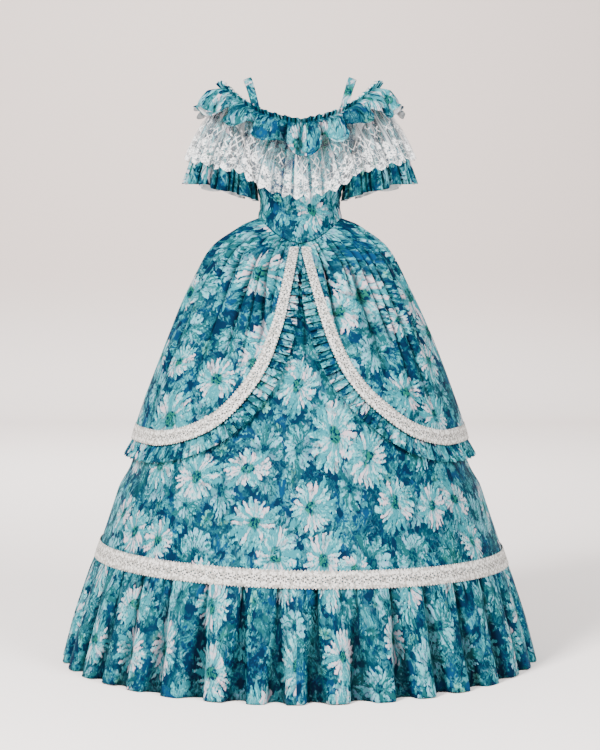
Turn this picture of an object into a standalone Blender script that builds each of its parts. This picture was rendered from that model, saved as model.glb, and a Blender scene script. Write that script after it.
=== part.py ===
"""Off-shoulder ball gown with a draped overskirt, standing open and empty as if worn.

Metres, +Z up, -Y is the wearer's front, +X the wearer's left. The origin is the middle of the waist.
Every piece of cloth is a wall: one sheet of points for its outer face, thickened inwards.
Heights in the tables are above the floor; the objects are dropped by WAIST_HEIGHT at the end.
"""

import math

import bmesh
import bpy
from mathutils import Vector

# Driving dimensions
WAIST_HEIGHT = 1.137
HEM_RADIUS = 0.596
HEM_FRONT_DEPTH = 0.622
HEM_CLEARANCE = 0.001
FLOUNCE_SEAM_HEIGHT = 0.268
FLOUNCE_SEAM_TILT = 0.011
CLOTH = 0.0014
FINE_CLOTH = 0.0011
BODICE_CLOTH = 0.0016
SEAM_GAP = 0.0003
# How far a wall's end leans past its seam line, because the wall is thickened along its own slope
SEAM_LEAN = 0.00014
LAYER_GAP = 0.0004
TUCK_GAP = 0.0009

# How far the skirts run up inside the bodice, and how far below its seam they start to flare
OVERSKIRT_TUCK = (-0.0035, 0.0008)
UNDERSKIRT_TUCK = (-0.0040, 0.0038)

# The pointed waist seam: how far its front point dips below the side waist
WAIST_POINT_DIP = 0.068
WAIST_POINT_SHARPNESS = 2.4

# Bodice: one row for each level of the body of the gown
BODICE_COLUMNS = ("height", "half_width", "front_depth", "back_depth", "squareness")
BODICE_SECTIONS = (
    (1.054, 0.120, 0.116, 0.090, 2.0),
    (1.137, 0.109, 0.092, 0.086, 2.0),
    (1.169, 0.1035, 0.084, 0.080, 2.0),
    (1.214, 0.111, 0.092, 0.085, 2.1),
    (1.264, 0.125, 0.108, 0.091, 2.2),
    (1.314, 0.140, 0.119, 0.096, 2.4),
    (1.364, 0.149, 0.118, 0.098, 2.7),
    (1.424, 0.154, 0.108, 0.098, 3.0),
)

BODICE_LEVELS = (0.0, 0.14, 0.30, 0.46, 0.62, 0.76, 0.89, 1.0)
# Panel name, first angle, last angle, columns of faces
BODICE_PANELS = (
    ("bodice_front", -90, 90, 24),
    ("bodice_back_left", 90, 180, 12),
    ("bodice_back_right", -180, -90, 12),
)

# Top edge of the bodice, from the front middle round to the back middle
NECKLINE_COLUMNS = ("angle", "height")
NECKLINE = (
    (0, 1.368),
    (25, 1.389),
    (48, 1.410),
    (62, 1.389),
    (78, 1.341),
    (90, 1.332),
    (104, 1.341),
    (122, 1.380),
    (138, 1.402),
    (158, 1.378),
    (180, 1.369),
)

# Skirt profile: share of the drop from waist seam to floor, and share of the way out to the hem
SKIRT_COLUMNS = ("drop", "spread")
SKIRT_PROFILE = (
    (0.000, 0.000),
    (0.028, 0.095),
    (0.064, 0.203),
    (0.120, 0.294),
    (0.193, 0.388),
    (0.303, 0.507),
    (0.448, 0.637),
    (0.613, 0.747),
    (0.760, 0.860),
    (0.796, 0.889),
    (0.869, 0.932),
    (0.943, 0.971),
    (1.000, 1.000),
)

# How far the underskirt lies inside that profile, by share of the drop
UNDERSKIRT_COLUMNS = ("drop", "inset")
UNDERSKIRT_INSET = (
    (0.000, 0.0024),
    (0.030, 0.0105),
    (0.100, 0.0170),
    (0.300, 0.0150),
    (0.520, 0.0110),
    (0.620, 0.0020),
    (1.000, 0.0000),
)

UNDERSKIRT_DROPS = (0.020, 0.050, 0.110, 0.200, 0.330, 0.500)
UNDERSKIRT_PANELS = (("underskirt_front", -90, 90), ("underskirt_back", 90, 270))
UNDERSKIRT_COLUMNS_EACH = 24

# Middle line of the trim on the overskirt's edge, from the waist point to the middle of the back
EDGE_COLUMNS = ("height", "angle_right", "angle_left")
EDGE_LINE = (
    (1.064, 7.5, 7.5),
    (1.048, 6.1, 6.2),
    (1.005, 6.6, 7.4),
    (0.941, 8.3, 10.1),
    (0.878, 10.1, 12.7),
    (0.827, 12.4, 15.0),
    (0.778, 14.9, 17.8),
    (0.738, 17.9, 21.0),
    (0.698, 21.8, 25.3),
    (0.663, 26.0, 30.6),
    (0.632, 31.4, 36.0),
    (0.608, 38.5, 42.0),
    (0.592, 46.5, 49.5),
    (0.584, 56.0, 58.0),
    (0.586, 70.0, 72.0),
    (0.588, 95.0, 95.0),
    (0.580, 135.0, 135.0),
    (0.574, 180.0, 180.0),
)
EDGE_SAMPLES = 400
EDGE_START = 0.004
EDGE_END = 0.9985
# About how far from the middle axis the edge runs, to even out its samples
EDGE_RADIUS = 0.40
# The folds are held flat within this many degrees of the edge, and full that much farther on
FLAT_DEGREES = 3.0
FLAT_FADE_DEGREES = 7.0

TRIM_WIDTH_TOP = 0.028
TRIM_WIDTH = 0.039
TRIM_STEPS = 52
TRIM_CROWDING = 1.35
TRIM_LIFT = 0.0011
TRIM_TOP_LIFT = 0.0012
HEM_TRIM_SPAN = (0.029, -0.013)
HEM_TRIM_LIFT = 0.0042
HEM_TRIM_STEPS = 60

FRILL_COLUMNS = ("along", "depth")
FRILL_DEPTHS = (
    (0.000, 0.004),
    (0.038, 0.007),
    (0.085, 0.020),
    (0.130, 0.031),
    (0.220, 0.041),
    (1.000, 0.044),
)
FRILL_START = 0.038
FRILL_PLEATS = 46
FRILL_WAVE = 0.0030
# Each knife pleat is three places: its edge, and two under the next pleat
FRILL_PHASES = (1.0, -0.6, -0.4)
FRILL_LAP = 0.0045
FRILL_TUCK = 0.0047
FRILL_TOP_TUCK = 0.0031
FRILL_RISE = 0.0010

# Folds that fall from the overskirt's waist gathers
FOLD_COLUMNS = ("angle", "width", "depth", "reach")
FOLD_START = 0.05
FOLD_SCALE = 1.5
FOLDS_RIGHT = (
    (19.0, 4.2, 0.0130, 0.34),
    (33.0, 6.0, 0.0120, 0.22),
    (50.0, 7.0, 0.0100, 0.30),
    (69.0, 8.0, 0.0090, 0.24),
    (98.0, 9.0, 0.0100, 0.34),
    (127.0, 9.0, 0.0090, 0.28),
    (155.0, 9.0, 0.0100, 0.34),
)
FOLDS_LEFT = (
    (20.5, 4.5, 0.0110, 0.30),
    (36.0, 7.0, 0.0130, 0.32),
    (54.0, 7.0, 0.0100, 0.24),
    (73.0, 8.0, 0.0100, 0.34),
    (101.0, 9.0, 0.0090, 0.28),
    (129.0, 9.0, 0.0100, 0.34),
    (157.0, 9.0, 0.0090, 0.30),
)

OVERSKIRT_LEVELS = (0.045, 0.09, 0.15, 0.23, 0.36, 0.54, 0.72, 0.86, 0.95, 1.0)
OVERSKIRT_STEPS = 30

# The off-shoulder ring that the flounces hang from
RING_HALF_WIDTH = 0.203
RING_FRONT_DEPTH = 0.1215
RING_BACK_DEPTH = 0.112
RING_SQUARENESS = 2.25
RING_COLUMNS = ("angle", "height")
RING_LINE = (
    (0, 1.368),
    (20, 1.388),
    (40, 1.419),
    (62, 1.454),
    (90, 1.474),
    (118, 1.452),
    (145, 1.411),
    (162, 1.386),
    (180, 1.376),
)
HEADING = 0.013
HEADING_FLARE = 0.0035
HEADING_WAVE = 0.12

# Waves of each gathered piece: how many, how deep in metres, and a seed for their unevenness
NECK_FLOUNCE_WAVES = (20, 0.0145, 0.6)
LACE_WAVES = (18, 0.0072, 2.4)
SLEEVE_WAVES = (7, 1.0, 1.3)
HEM_FLOUNCE_WAVES = (36, 0.0175, 4.2)

# Rows of a flounce from its seam to its hem: share of the way, push outwards, share of the wave
FLOUNCE_COLUMNS = ("share", "out", "wave")
NECK_FLOUNCE_ROWS = (
    (0.00, 0.000, 0.00),
    (0.22, 0.013, 0.35),
    (0.58, 0.012, 0.75),
    (1.00, 0.000, 1.00),
)
BULGE_LIFT = 0.4
LACE_ROWS = (
    (0.00, 0.000, 0.00),
    (0.30, -0.002, 0.12),
    (0.66, 0.002, 0.70),
    (1.00, 0.000, 1.00),
)
LACE_SEAT = 0.0020
HEM_FLOUNCE_ROWS = (
    (0.00, 0.000, 0.05),
    (0.32, 0.001, 0.42),
    (0.66, 0.003, 0.78),
    (1.00, 0.004, 1.00),
)

# Flounce hems: half width, front and back depth, squareness, and the height round the ring
NECK_HEM_SIZE = (0.250, 0.163, 0.152, 2.2)
NECK_HEM_LINE = (
    (0, 1.295),
    (13, 1.316),
    (27, 1.350),
    (41, 1.382),
    (62, 1.400),
    (90, 1.410),
    (118, 1.398),
    (145, 1.349),
    (180, 1.304),
)
LACE_HEM_SIZE = (0.291, 0.158, 0.150, 2.5)
LACE_HEM_LINE = (
    (0, 1.183),
    (10, 1.197),
    (18, 1.222),
    (24, 1.245),
    (40, 1.260),
    (60, 1.277),
    (90, 1.293),
    (130, 1.267),
    (155, 1.226),
    (180, 1.214),
)

# Right sleeve: one row for each level, from the armhole to the flared hem
SLEEVE_COLUMNS = ("middle", "half_width", "half_depth", "inner_height", "outer_height", "wave")
SLEEVE_SECTIONS = (
    (0.1738, 0.0259, 0.070, 1.336, 1.456, 0.0000),
    (0.1800, 0.0400, 0.076, 1.309, 1.416, 0.0020),
    (0.1890, 0.0600, 0.080, 1.273, 1.349, 0.0040),
    (0.1965, 0.0745, 0.082, 1.228, 1.289, 0.0055),
    (0.2040, 0.0860, 0.084, 1.183, 1.228, 0.0085),
)

STRAP_WIDTH = 0.021
STRAP_FRONT_ANGLE = 41.0
STRAP_BACK_ANGLE = 141.0
# How far below the bodice's top edge each end of the strap reaches, and where it leaves the edge
STRAP_LAP = (0.017, 0.001)
STRAP_SEAT = 0.0027
STRAP_COLUMNS = ("x", "y", "height", "tilt")
STRAP_ARCH = (
    (0.1185, -0.0835, 1.4360, -0.10),
    (0.1270, -0.0610, 1.4690, -0.25),
    (0.1345, -0.0300, 1.4915, -0.36),
    (0.1375, 0.0020, 1.4975, -0.40),
    (0.1340, 0.0330, 1.4880, -0.36),
    (0.1240, 0.0640, 1.4600, -0.25),
)


def column(table, columns, name):
    """One named column of a table, as a list."""
    place = columns.index(name)
    return [row[place] for row in table]


def smooth(xs, ys, x):
    """A smooth curve through (xs, ys) that never overshoots them, read at x."""
    if x <= xs[0]:
        return ys[0]
    if x >= xs[-1]:
        return ys[-1]
    i = max(k for k in range(len(xs) - 1) if xs[k] <= x)
    steps = [xs[k + 1] - xs[k] for k in range(len(xs) - 1)]
    slopes = [(ys[k + 1] - ys[k]) / steps[k] for k in range(len(steps))]

    def tangent(k):
        if k == 0:
            return slopes[0]
        if k == len(slopes):
            return slopes[-1]
        before, after = slopes[k - 1], slopes[k]
        return 0.0 if before * after <= 0 else 2 * before * after / (before + after)

    t = (x - xs[i]) / steps[i]
    return (
        ys[i] * (1 + 2 * t) * (1 - t) ** 2
        + steps[i] * tangent(i) * t * (1 - t) ** 2
        + ys[i + 1] * t * t * (3 - 2 * t)
        - steps[i] * tangent(i + 1) * t * t * (1 - t)
    )


def spaced(first, last, count):
    """Count + 1 even steps from first to last."""
    return [first + (last - first) * k / count for k in range(count + 1)]


def ease(t):
    """0 below 0, 1 above 1, and a smooth step between."""
    t = min(1.0, max(0.0, t))
    return t * t * (3 - 2 * t)


def oval(angle, half_width, front_depth, back_depth, squareness, height):
    """A point on a rounded section. Angle 0 is the front middle and 90 degrees the wearer's left."""
    across, along = math.sin(angle), math.cos(angle)
    power = 2.0 / squareness
    depth = front_depth if along > 0 else back_depth
    x = math.copysign(abs(across) ** power, across) * half_width
    y = -math.copysign(abs(along) ** power, along) * depth
    return Vector((x, y, height))


def ring_waves(waves):
    """(angle, wave) for four places on each wave of a ring: two on its crest and two in its valley.

    The spacing and the depth are uneven, and both close after one turn.
    """
    count, size, seed = waves
    places = []
    for k in range(4 * count):
        number = (k + 0.5) / 4
        turn = 2 * math.pi * number / count
        uneven = math.sin(2 * turn + seed)
        uneven += 0.8 * math.sin(5 * turn + 2.1 * seed) + 0.6 * math.sin(9 * turn + seed)
        depth = 1 + 0.22 * math.sin(3 * turn + 1.7 * seed) + 0.16 * math.sin(7 * turn + seed)
        places.append((turn + 0.55 / count * uneven, size * depth * math.cos(2 * math.pi * number)))
    return places


# Bodice shape
def bodice_point(angle, height, outwards=0.0):
    """A point on the outer face of the bodice, moved out by a distance."""
    levels = column(BODICE_SECTIONS, BODICE_COLUMNS, "height")
    sizes = [
        smooth(levels, column(BODICE_SECTIONS, BODICE_COLUMNS, name), height)
        for name in BODICE_COLUMNS[1:]
    ]
    half_width, front_depth, back_depth, squareness = sizes
    return oval(
        angle,
        half_width + outwards,
        front_depth + outwards,
        back_depth + outwards,
        squareness,
        height,
    )


def round_height(table, columns, angle):
    """Height of a line that is the same on the left and the right, at an angle."""
    turned = abs(math.degrees(math.atan2(math.sin(angle), math.cos(angle))))
    return smooth(column(table, columns, "angle"), column(table, columns, "height"), turned)


def waist_seam_height(angle):
    """The seam is level at the back and dips to a point at the front."""
    forward = max(0.0, math.cos(angle))
    return WAIST_HEIGHT - WAIST_POINT_DIP * forward**WAIST_POINT_SHARPNESS


def flounce_seam_height(angle):
    """The flounce seam hangs a little lower on the wearer's left."""
    return FLOUNCE_SEAM_HEIGHT - FLOUNCE_SEAM_TILT * math.sin(angle)


# Skirt shape
def skirt_drop(angle, height):
    """Share of the drop from the waist seam to the floor."""
    top = waist_seam_height(angle)
    return max(0.0, (top - height) / top)


def skirt_point(angle, height, outwards=0.0):
    """A point on the skirt's smooth form."""
    start = bodice_point(angle, waist_seam_height(angle), -BODICE_CLOTH - TUCK_GAP)
    hem = oval(angle, HEM_RADIUS, HEM_FRONT_DEPTH, HEM_RADIUS, 2.0, 0.0)
    drops = column(SKIRT_PROFILE, SKIRT_COLUMNS, "drop")
    spread = smooth(drops, column(SKIRT_PROFILE, SKIRT_COLUMNS, "spread"), skirt_drop(angle, height))
    away = (hem - start).to_2d().normalized().to_3d()
    place = start.lerp(hem, spread)
    place.z = height
    return place + away * outwards


def tuck_point(angle, below_seam, layers_in):
    """A point where a skirt runs up inside the bodice's bottom edge, under a number of other layers."""
    top = waist_seam_height(angle)
    inwards = BODICE_CLOTH + TUCK_GAP + layers_in * (CLOTH + TUCK_GAP)
    place = bodice_point(angle, max(top, top - below_seam), -inwards)
    place.z = top - below_seam
    return place


def overskirt_fold(angle, drop):
    """How far the gathers push the overskirt in or out at an angle in degrees, right side negative."""
    table = FOLDS_LEFT if angle >= 0 else FOLDS_RIGHT
    push = 0.0
    for middle, width, depth, reach in table:
        off_middle = ((abs(angle) - middle) / width) ** 2
        trough = math.exp(-off_middle) - 0.5 * math.exp(-off_middle / 4)
        grown = ease(drop / FOLD_START) * (1 - ease((drop - 0.35 * reach) / reach))
        push -= FOLD_SCALE * depth * trough * grown
    return push


def edge_sample(side):
    """The trim's middle line on one side, as many (angle, height) points: a smooth curve through the table."""
    name = "angle_left" if side > 0 else "angle_right"
    angles = column(EDGE_LINE, EDGE_COLUMNS, name)
    heights = column(EDGE_LINE, EDGE_COLUMNS, "height")
    steps = [0.0]
    for k in range(1, len(angles)):
        sideways = math.radians(angles[k] - angles[k - 1]) * EDGE_RADIUS
        steps.append(steps[-1] + math.hypot(sideways, heights[k] - heights[k - 1]))
    fine = spaced(0.0, steps[-1], EDGE_SAMPLES)
    return [(smooth(steps, angles, s), smooth(steps, heights, s)) for s in fine]


EDGES = {side: edge_sample(side) for side in (-1, 1)}


def edge_angle_at(height):
    """Rough angle of the edge at a height."""
    rising = [row for row in EDGE_LINE if row[1] <= 56.0][::-1]
    heights = column(rising, EDGE_COLUMNS, "height")
    return smooth(heights, column(rising, EDGE_COLUMNS, "angle_left"), height)


def overskirt_point(angle, height, outwards=0.0):
    """A point on the overskirt's outer face, angle in degrees, right side negative."""
    past_edge = abs(angle) - edge_angle_at(height) - FLAT_DEGREES
    push = overskirt_fold(angle, skirt_drop(math.radians(angle), height)) * ease(past_edge / FLAT_FADE_DEGREES)
    return skirt_point(math.radians(angle), height, push + outwards)


def edge_place(side, along, across):
    """(angle, height) beside the trim's middle line: along is 0 to 1, across is positive past the edge."""
    line = EDGES[side]
    place = along * (len(line) - 1)
    k = min(int(place), len(line) - 2)
    angle = side * (line[k][0] + (line[k + 1][0] - line[k][0]) * (place - k))
    height = line[k][1] + (line[k + 1][1] - line[k][1]) * (place - k)
    before, after = line[max(k - 3, 0)], line[min(k + 4, len(line) - 1)]
    ahead = overskirt_point(side * after[0], after[1]) - overskirt_point(side * before[0], before[1])
    # Small steps round and down the cloth show how far an angle and a height go there
    turn_step, fall_step = 0.05 * side, 0.0005
    here = overskirt_point(angle, height)
    turned = overskirt_point(angle + turn_step, height) - here
    fallen = overskirt_point(angle, height - fall_step) - here
    outward = fallen.cross(turned).normalized() * side
    past = ahead.cross(outward).normalized() * side * across
    turns = past.dot(turned.normalized()) / turned.length
    falls = past.dot(fallen.normalized()) / fallen.length
    return angle + turns * turn_step, height - falls * fall_step


def edge_point(side, along, across, outwards):
    """A point on the overskirt beside the trim's middle line, moved out by a distance."""
    angle, height = edge_place(side, along, across)
    return overskirt_point(angle, height, outwards)


def trim_width(along):
    """The trim is narrower where it leaves the waist."""
    return TRIM_WIDTH_TOP + (TRIM_WIDTH - TRIM_WIDTH_TOP) * ease(along / 0.3)


def frill_depth(along):
    """How far the frill stands past the trim."""
    return smooth(
        column(FRILL_DEPTHS, FRILL_COLUMNS, "along"),
        column(FRILL_DEPTHS, FRILL_COLUMNS, "depth"),
        along,
    )


# Making the objects
def make_material(name, colour, roughness, sheen=0.0):
    material = bpy.data.materials.new(name)
    material.use_nodes = True
    shader = material.node_tree.nodes["Principled BSDF"]
    shader.inputs["Base Color"].default_value = (*colour, 1.0)
    shader.inputs["Roughness"].default_value = roughness
    shader.inputs["Metallic"].default_value = 0.0
    shader.inputs["Sheen Weight"].default_value = sheen
    material.diffuse_color = (*colour, 1.0)
    return material


def make_wall(name, rows, thickness, material, ring=False):
    """A cloth wall from rows of points on its outer face, thickened inwards. Rows run from top to bottom."""
    mesh = bpy.data.meshes.new(name)
    build = bmesh.new()
    grid = [[build.verts.new(p - Vector((0, 0, WAIST_HEIGHT))) for p in row] for row in rows]
    columns = len(grid[0])
    last = columns if ring else columns - 1
    for upper, lower in zip(grid, grid[1:]):
        for k in range(last):
            after = (k + 1) % columns
            build.faces.new((upper[k], lower[k], lower[after], upper[after]))
    build.to_mesh(mesh)
    build.free()
    for polygon in mesh.polygons:
        polygon.use_smooth = True
    made = bpy.data.objects.new(name, mesh)
    bpy.context.scene.collection.objects.link(made)
    made.data.materials.append(material)
    thicken = made.modifiers.new("Wall", "SOLIDIFY")
    thicken.thickness = thickness
    thicken.offset = -1.0
    thicken.use_even_offset = True
    thicken.use_quality_normals = True
    return made


def open_seams(row, first=True, last=True):
    """The row with its end points drawn back, so that two panels meet with a narrow gap between them."""
    back = SEAM_GAP / 2 + SEAM_LEAN
    row = list(row)
    if first:
        row[0] = row[0] + (row[1] - row[0]).normalized() * back
    if last:
        row[-1] = row[-1] + (row[-2] - row[-1]).normalized() * back
    return row


def outward_rows(rows, side):
    """Rows worked from the front round to the back, turned on the right so that they too face outwards."""
    return rows if side > 0 else [row[::-1] for row in rows]


# The pieces of the gown
def make_bodice(material):
    """Front and two backs, cut apart at the side seams and the middle back opening."""
    for name, start, end, count in BODICE_PANELS:
        rows = []
        for level in BODICE_LEVELS:
            row = []
            for degrees in spaced(start, end, count):
                angle = math.radians(degrees)
                top = round_height(NECKLINE, NECKLINE_COLUMNS, angle)
                bottom = waist_seam_height(angle)
                row.append(bodice_point(angle, top + (bottom - top) * level))
            rows.append(open_seams(row))
        make_wall(name, rows, BODICE_CLOTH, material)


def strap_anchor(side, degrees, below):
    """Three points across a strap's end, on the inner face of the bodice, below its top edge."""
    angle = math.radians(degrees)
    height = round_height(NECKLINE, NECKLINE_COLUMNS, angle) - below
    step = 0.02
    reach = (bodice_point(angle + step, height) - bodice_point(angle, height)).length
    turn = STRAP_WIDTH / 2 * step / reach
    row = [bodice_point(angle + k * turn, height, -STRAP_SEAT) for k in (-1, 0, 1)]
    return [Vector((side * p.x, p.y, p.z)) for p in row]


def make_straps(material):
    """A narrow band over each shoulder, its ends caught inside the bodice's top edge."""
    for side, name in ((1, "shoulder_strap_left"), (-1, "shoulder_strap_right")):
        front = [strap_anchor(side, STRAP_FRONT_ANGLE, below) for below in STRAP_LAP]
        back = [strap_anchor(side, STRAP_BACK_ANGLE, below)[::-1] for below in STRAP_LAP[::-1]]
        arch = []
        for x, y, height, tilt in STRAP_ARCH:
            across = Vector((side, 0.0, tilt)).normalized() * STRAP_WIDTH / 2
            middle = Vector((side * x, y, height))
            arch.append([middle - across, middle, middle + across])
        make_wall(name, outward_rows(front + arch + back, -side), FINE_CLOTH, material)


def ring_point(angle, outwards=0.0, above=0.0):
    """A point on the elastic line round the shoulders."""
    return oval(
        angle,
        RING_HALF_WIDTH + outwards,
        RING_FRONT_DEPTH + outwards,
        RING_BACK_DEPTH + outwards,
        RING_SQUARENESS,
        round_height(RING_LINE, RING_COLUMNS, angle) + above,
    )


def flounce_point(start, end, row, wave):
    """A point of a flounce between its seam and its hem, pushed outwards by its row's bulge and wave."""
    share, out, wave_share = row
    away = (end - start).to_2d().normalized().to_3d()
    return start.lerp(end, share) + away * (out + wave * wave_share)


def make_neck_flounce(material):
    """The gathered print flounce with a small heading above its elastic."""
    rows = [[] for _ in range(1 + len(NECK_FLOUNCE_ROWS))]
    for angle, wave in ring_waves(NECK_FLOUNCE_WAVES):
        start = ring_point(angle)
        end = oval(angle, *NECK_HEM_SIZE, round_height(NECK_HEM_LINE, RING_COLUMNS, angle))
        rows[0].append(ring_point(angle, HEADING_FLARE + HEADING_WAVE * wave, HEADING))
        for row, shape in zip(rows[1:], NECK_FLOUNCE_ROWS):
            row.append(flounce_point(start, end, shape, wave) + Vector((0, 0, BULGE_LIFT * shape[1])))
    make_wall("neck_flounce", rows, FINE_CLOTH, material, ring=True)


def make_lace_flounce(material):
    """The lace flounce under it, over the bodice and both sleeves."""
    rows = [[] for _ in LACE_ROWS]
    for angle, wave in ring_waves(LACE_WAVES):
        start = ring_point(angle, -LACE_SEAT)
        end = oval(angle, *LACE_HEM_SIZE, round_height(LACE_HEM_LINE, RING_COLUMNS, angle))
        for row, shape in zip(rows, LACE_ROWS):
            row.append(flounce_point(start, end, shape, wave))
    make_wall("lace_flounce", rows, FINE_CLOTH, material, ring=True)


def make_sleeves(material):
    """A short flared sleeve on each arm, open at both ends."""
    for side, name in ((1, "sleeve_left"), (-1, "sleeve_right")):
        rows = []
        for middle, half_width, half_depth, inner, outer, size in SLEEVE_SECTIONS:
            row = []
            for angle, wave in ring_waves(SLEEVE_WAVES):
                out = math.sin(angle)
                x = middle + (half_width + size * wave) * out
                y = -(half_depth + size * wave) * math.cos(angle)
                row.append(Vector((side * x, y, inner + (outer - inner) * (0.5 + 0.5 * out))))
            rows.append(row)
        make_wall(name, outward_rows(rows, side), FINE_CLOTH, material, ring=True)


def underskirt_point(angle, height):
    """A point on the underskirt, which lies a little inside the overskirt's form."""
    drops = column(UNDERSKIRT_INSET, UNDERSKIRT_COLUMNS, "drop")
    insets = column(UNDERSKIRT_INSET, UNDERSKIRT_COLUMNS, "inset")
    return skirt_point(angle, height, -smooth(drops, insets, skirt_drop(angle, height)))


def make_underskirt(material):
    """The main skirt, front and back, from the waist seam to the flounce seam."""
    for name, start, end in UNDERSKIRT_PANELS:
        angles = [math.radians(degrees) for degrees in spaced(start, end, UNDERSKIRT_COLUMNS_EACH)]
        rows = [[tuck_point(a, below, 1) for a in angles] for below in UNDERSKIRT_TUCK]
        for drop in UNDERSKIRT_DROPS:
            rows.append([underskirt_point(a, waist_seam_height(a) * (1 - drop)) for a in angles])
        rows.append([underskirt_point(a, flounce_seam_height(a) + SEAM_GAP) for a in angles])
        make_wall(name, [open_seams(row) for row in rows], CLOTH, material)


def make_hem_flounce(material):
    """The deep gathered flounce that reaches the floor."""
    rows = [[] for _ in HEM_FLOUNCE_ROWS]
    for angle, wave in ring_waves(HEM_FLOUNCE_WAVES):
        top = flounce_seam_height(angle)
        for row, (share, out, wave_share) in zip(rows, HEM_FLOUNCE_ROWS):
            height = top + (HEM_CLEARANCE - top) * share
            row.append(skirt_point(angle, height, out + wave * wave_share))
    make_wall("hem_flounce", rows, CLOTH, material, ring=True)


def make_hem_trim(material):
    """Lace ribbon over the flounce seam."""
    angles = [math.radians(degrees) for degrees in spaced(0, 360, HEM_TRIM_STEPS)[:-1]]
    rows = [
        [skirt_point(a, flounce_seam_height(a) + above, HEM_TRIM_LIFT) for a in angles]
        for above in HEM_TRIM_SPAN
    ]
    make_wall("hem_trim", rows, FINE_CLOTH, material, ring=True)


def overskirt_outline(side):
    """The overskirt's cut edge: where it rises to the waist, and where it runs round to the back."""
    edge = [edge_place(side, along, trim_width(along) / 2) for along in spaced(0.0, 1.0, 240)]
    edge = [(abs(angle), height) for angle, height in edge]
    before_side = [k for k, (angle, _) in enumerate(edge) if angle < 75]
    lowest = min(before_side, key=lambda k: edge[k][1])
    return edge[: lowest + 1], edge[lowest::8]


def make_overskirt(material):
    """Each half runs from the front edge round to the middle back, its rows cut short by the sweeping edge."""
    for side, name in ((1, "overskirt_left"), (-1, "overskirt_right")):
        rising, running = overskirt_outline(side)
        lowest_angle, lowest_height = rising[-1]
        rising_angles = [angle for angle, _ in rising]
        rising_levels = []
        for angle, height in rising:
            top = waist_seam_height(math.radians(angle))
            rising_levels.append((top - height) / (top - lowest_height))
        rows = []
        for below in OVERSKIRT_TUCK:
            angles = spaced(rising_angles[0], 180, OVERSKIRT_STEPS)
            rows.append([tuck_point(math.radians(side * angle), below, 0) for angle in angles])
        for level in OVERSKIRT_LEVELS:
            row = []
            for angle in spaced(smooth(rising_levels, rising_angles, level), 180, OVERSKIRT_STEPS):
                top = waist_seam_height(math.radians(angle))
                bottom = smooth([a for a, _ in running], [h for _, h in running], angle)
                row.append(overskirt_point(side * angle, top + (bottom - top) * level))
            rows.append(row)
        rows = [open_seams(row, first=False) for row in rows]
        make_wall(name, outward_rows(rows, side), CLOTH, material)


def make_edge_trims(material):
    """Lace ribbon along each sweeping edge, on top of the overskirt."""
    for side, name in ((1, "edge_trim_left"), (-1, "edge_trim_right")):
        rows = [[], [], []]
        for step in spaced(0.0, 1.0, TRIM_STEPS):
            along = EDGE_START + (EDGE_END - EDGE_START) * step**TRIM_CROWDING
            half = trim_width(along) / 2
            lift = FINE_CLOTH + TRIM_LIFT + TRIM_TOP_LIFT * (1 - ease(along / 0.10))
            for row, across in zip(rows, (-half, 0.0, half - 0.001)):
                row.append(edge_point(side, along, across, lift))
        make_wall(name, outward_rows(rows, side), FINE_CLOTH, material)


def make_edge_frills(material):
    """A pleated frill caught under each sweeping edge and standing past it."""
    for side, name in ((1, "edge_frill_left"), (-1, "edge_frill_right")):
        rows = [[], []]
        for k, along in enumerate(spaced(FRILL_START, EDGE_END, 3 * FRILL_PLEATS)):
            wave = FRILL_WAVE * FRILL_PHASES[k % 3] * (0.3 + 0.7 * ease(along / 0.10))
            half = trim_width(along) / 2
            inside = -CLOTH - LAYER_GAP
            tuck = FRILL_TUCK + FRILL_TOP_TUCK * (1 - ease(along / 0.14)) + 0.30 * (FRILL_WAVE - wave)
            rows[0].append(edge_point(side, along, half - FRILL_LAP, inside - tuck))
            rows[1].append(edge_point(side, along, half + frill_depth(along), inside + FRILL_RISE + wave))
        make_wall(name, outward_rows(rows, side), FINE_CLOTH, material)


def main():
    """Clears the scene and makes every piece."""
    for old in list(bpy.data.objects):
        bpy.data.objects.remove(old, do_unlink=True)
    print_cloth = make_material("print_cloth", (0.14, 0.42, 0.48), 0.55, 0.2)
    lace = make_material("lace", (0.86, 0.85, 0.83), 0.75, 0.3)
    galloon = make_material("galloon_lace", (0.83, 0.80, 0.75), 0.8)
    make_bodice(print_cloth)
    make_straps(print_cloth)
    make_neck_flounce(print_cloth)
    make_lace_flounce(lace)
    make_sleeves(print_cloth)
    make_underskirt(print_cloth)
    make_hem_flounce(print_cloth)
    make_hem_trim(galloon)
    make_overskirt(print_cloth)
    make_edge_trims(galloon)
    make_edge_frills(print_cloth)


main()
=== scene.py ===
# %% [markdown]
# # An off-shoulder gown in printed cloth
# A tiered ball gown stands open, as if worn. A fitted bodice comes down to a point at the front. A gathered
# overskirt is cut away in front over a smooth skirt, and a deep flounce reaches the floor. A print flounce
# and a lace flounce hang from an elastic line round the shoulders.
#
# The plain walls of every piece are already measured in the frame, so this script keeps their form and
# gives them what cloth has: gathers, folds, a printed pattern, lace and ribbon.

# %% Load the measured frame
import math

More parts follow.
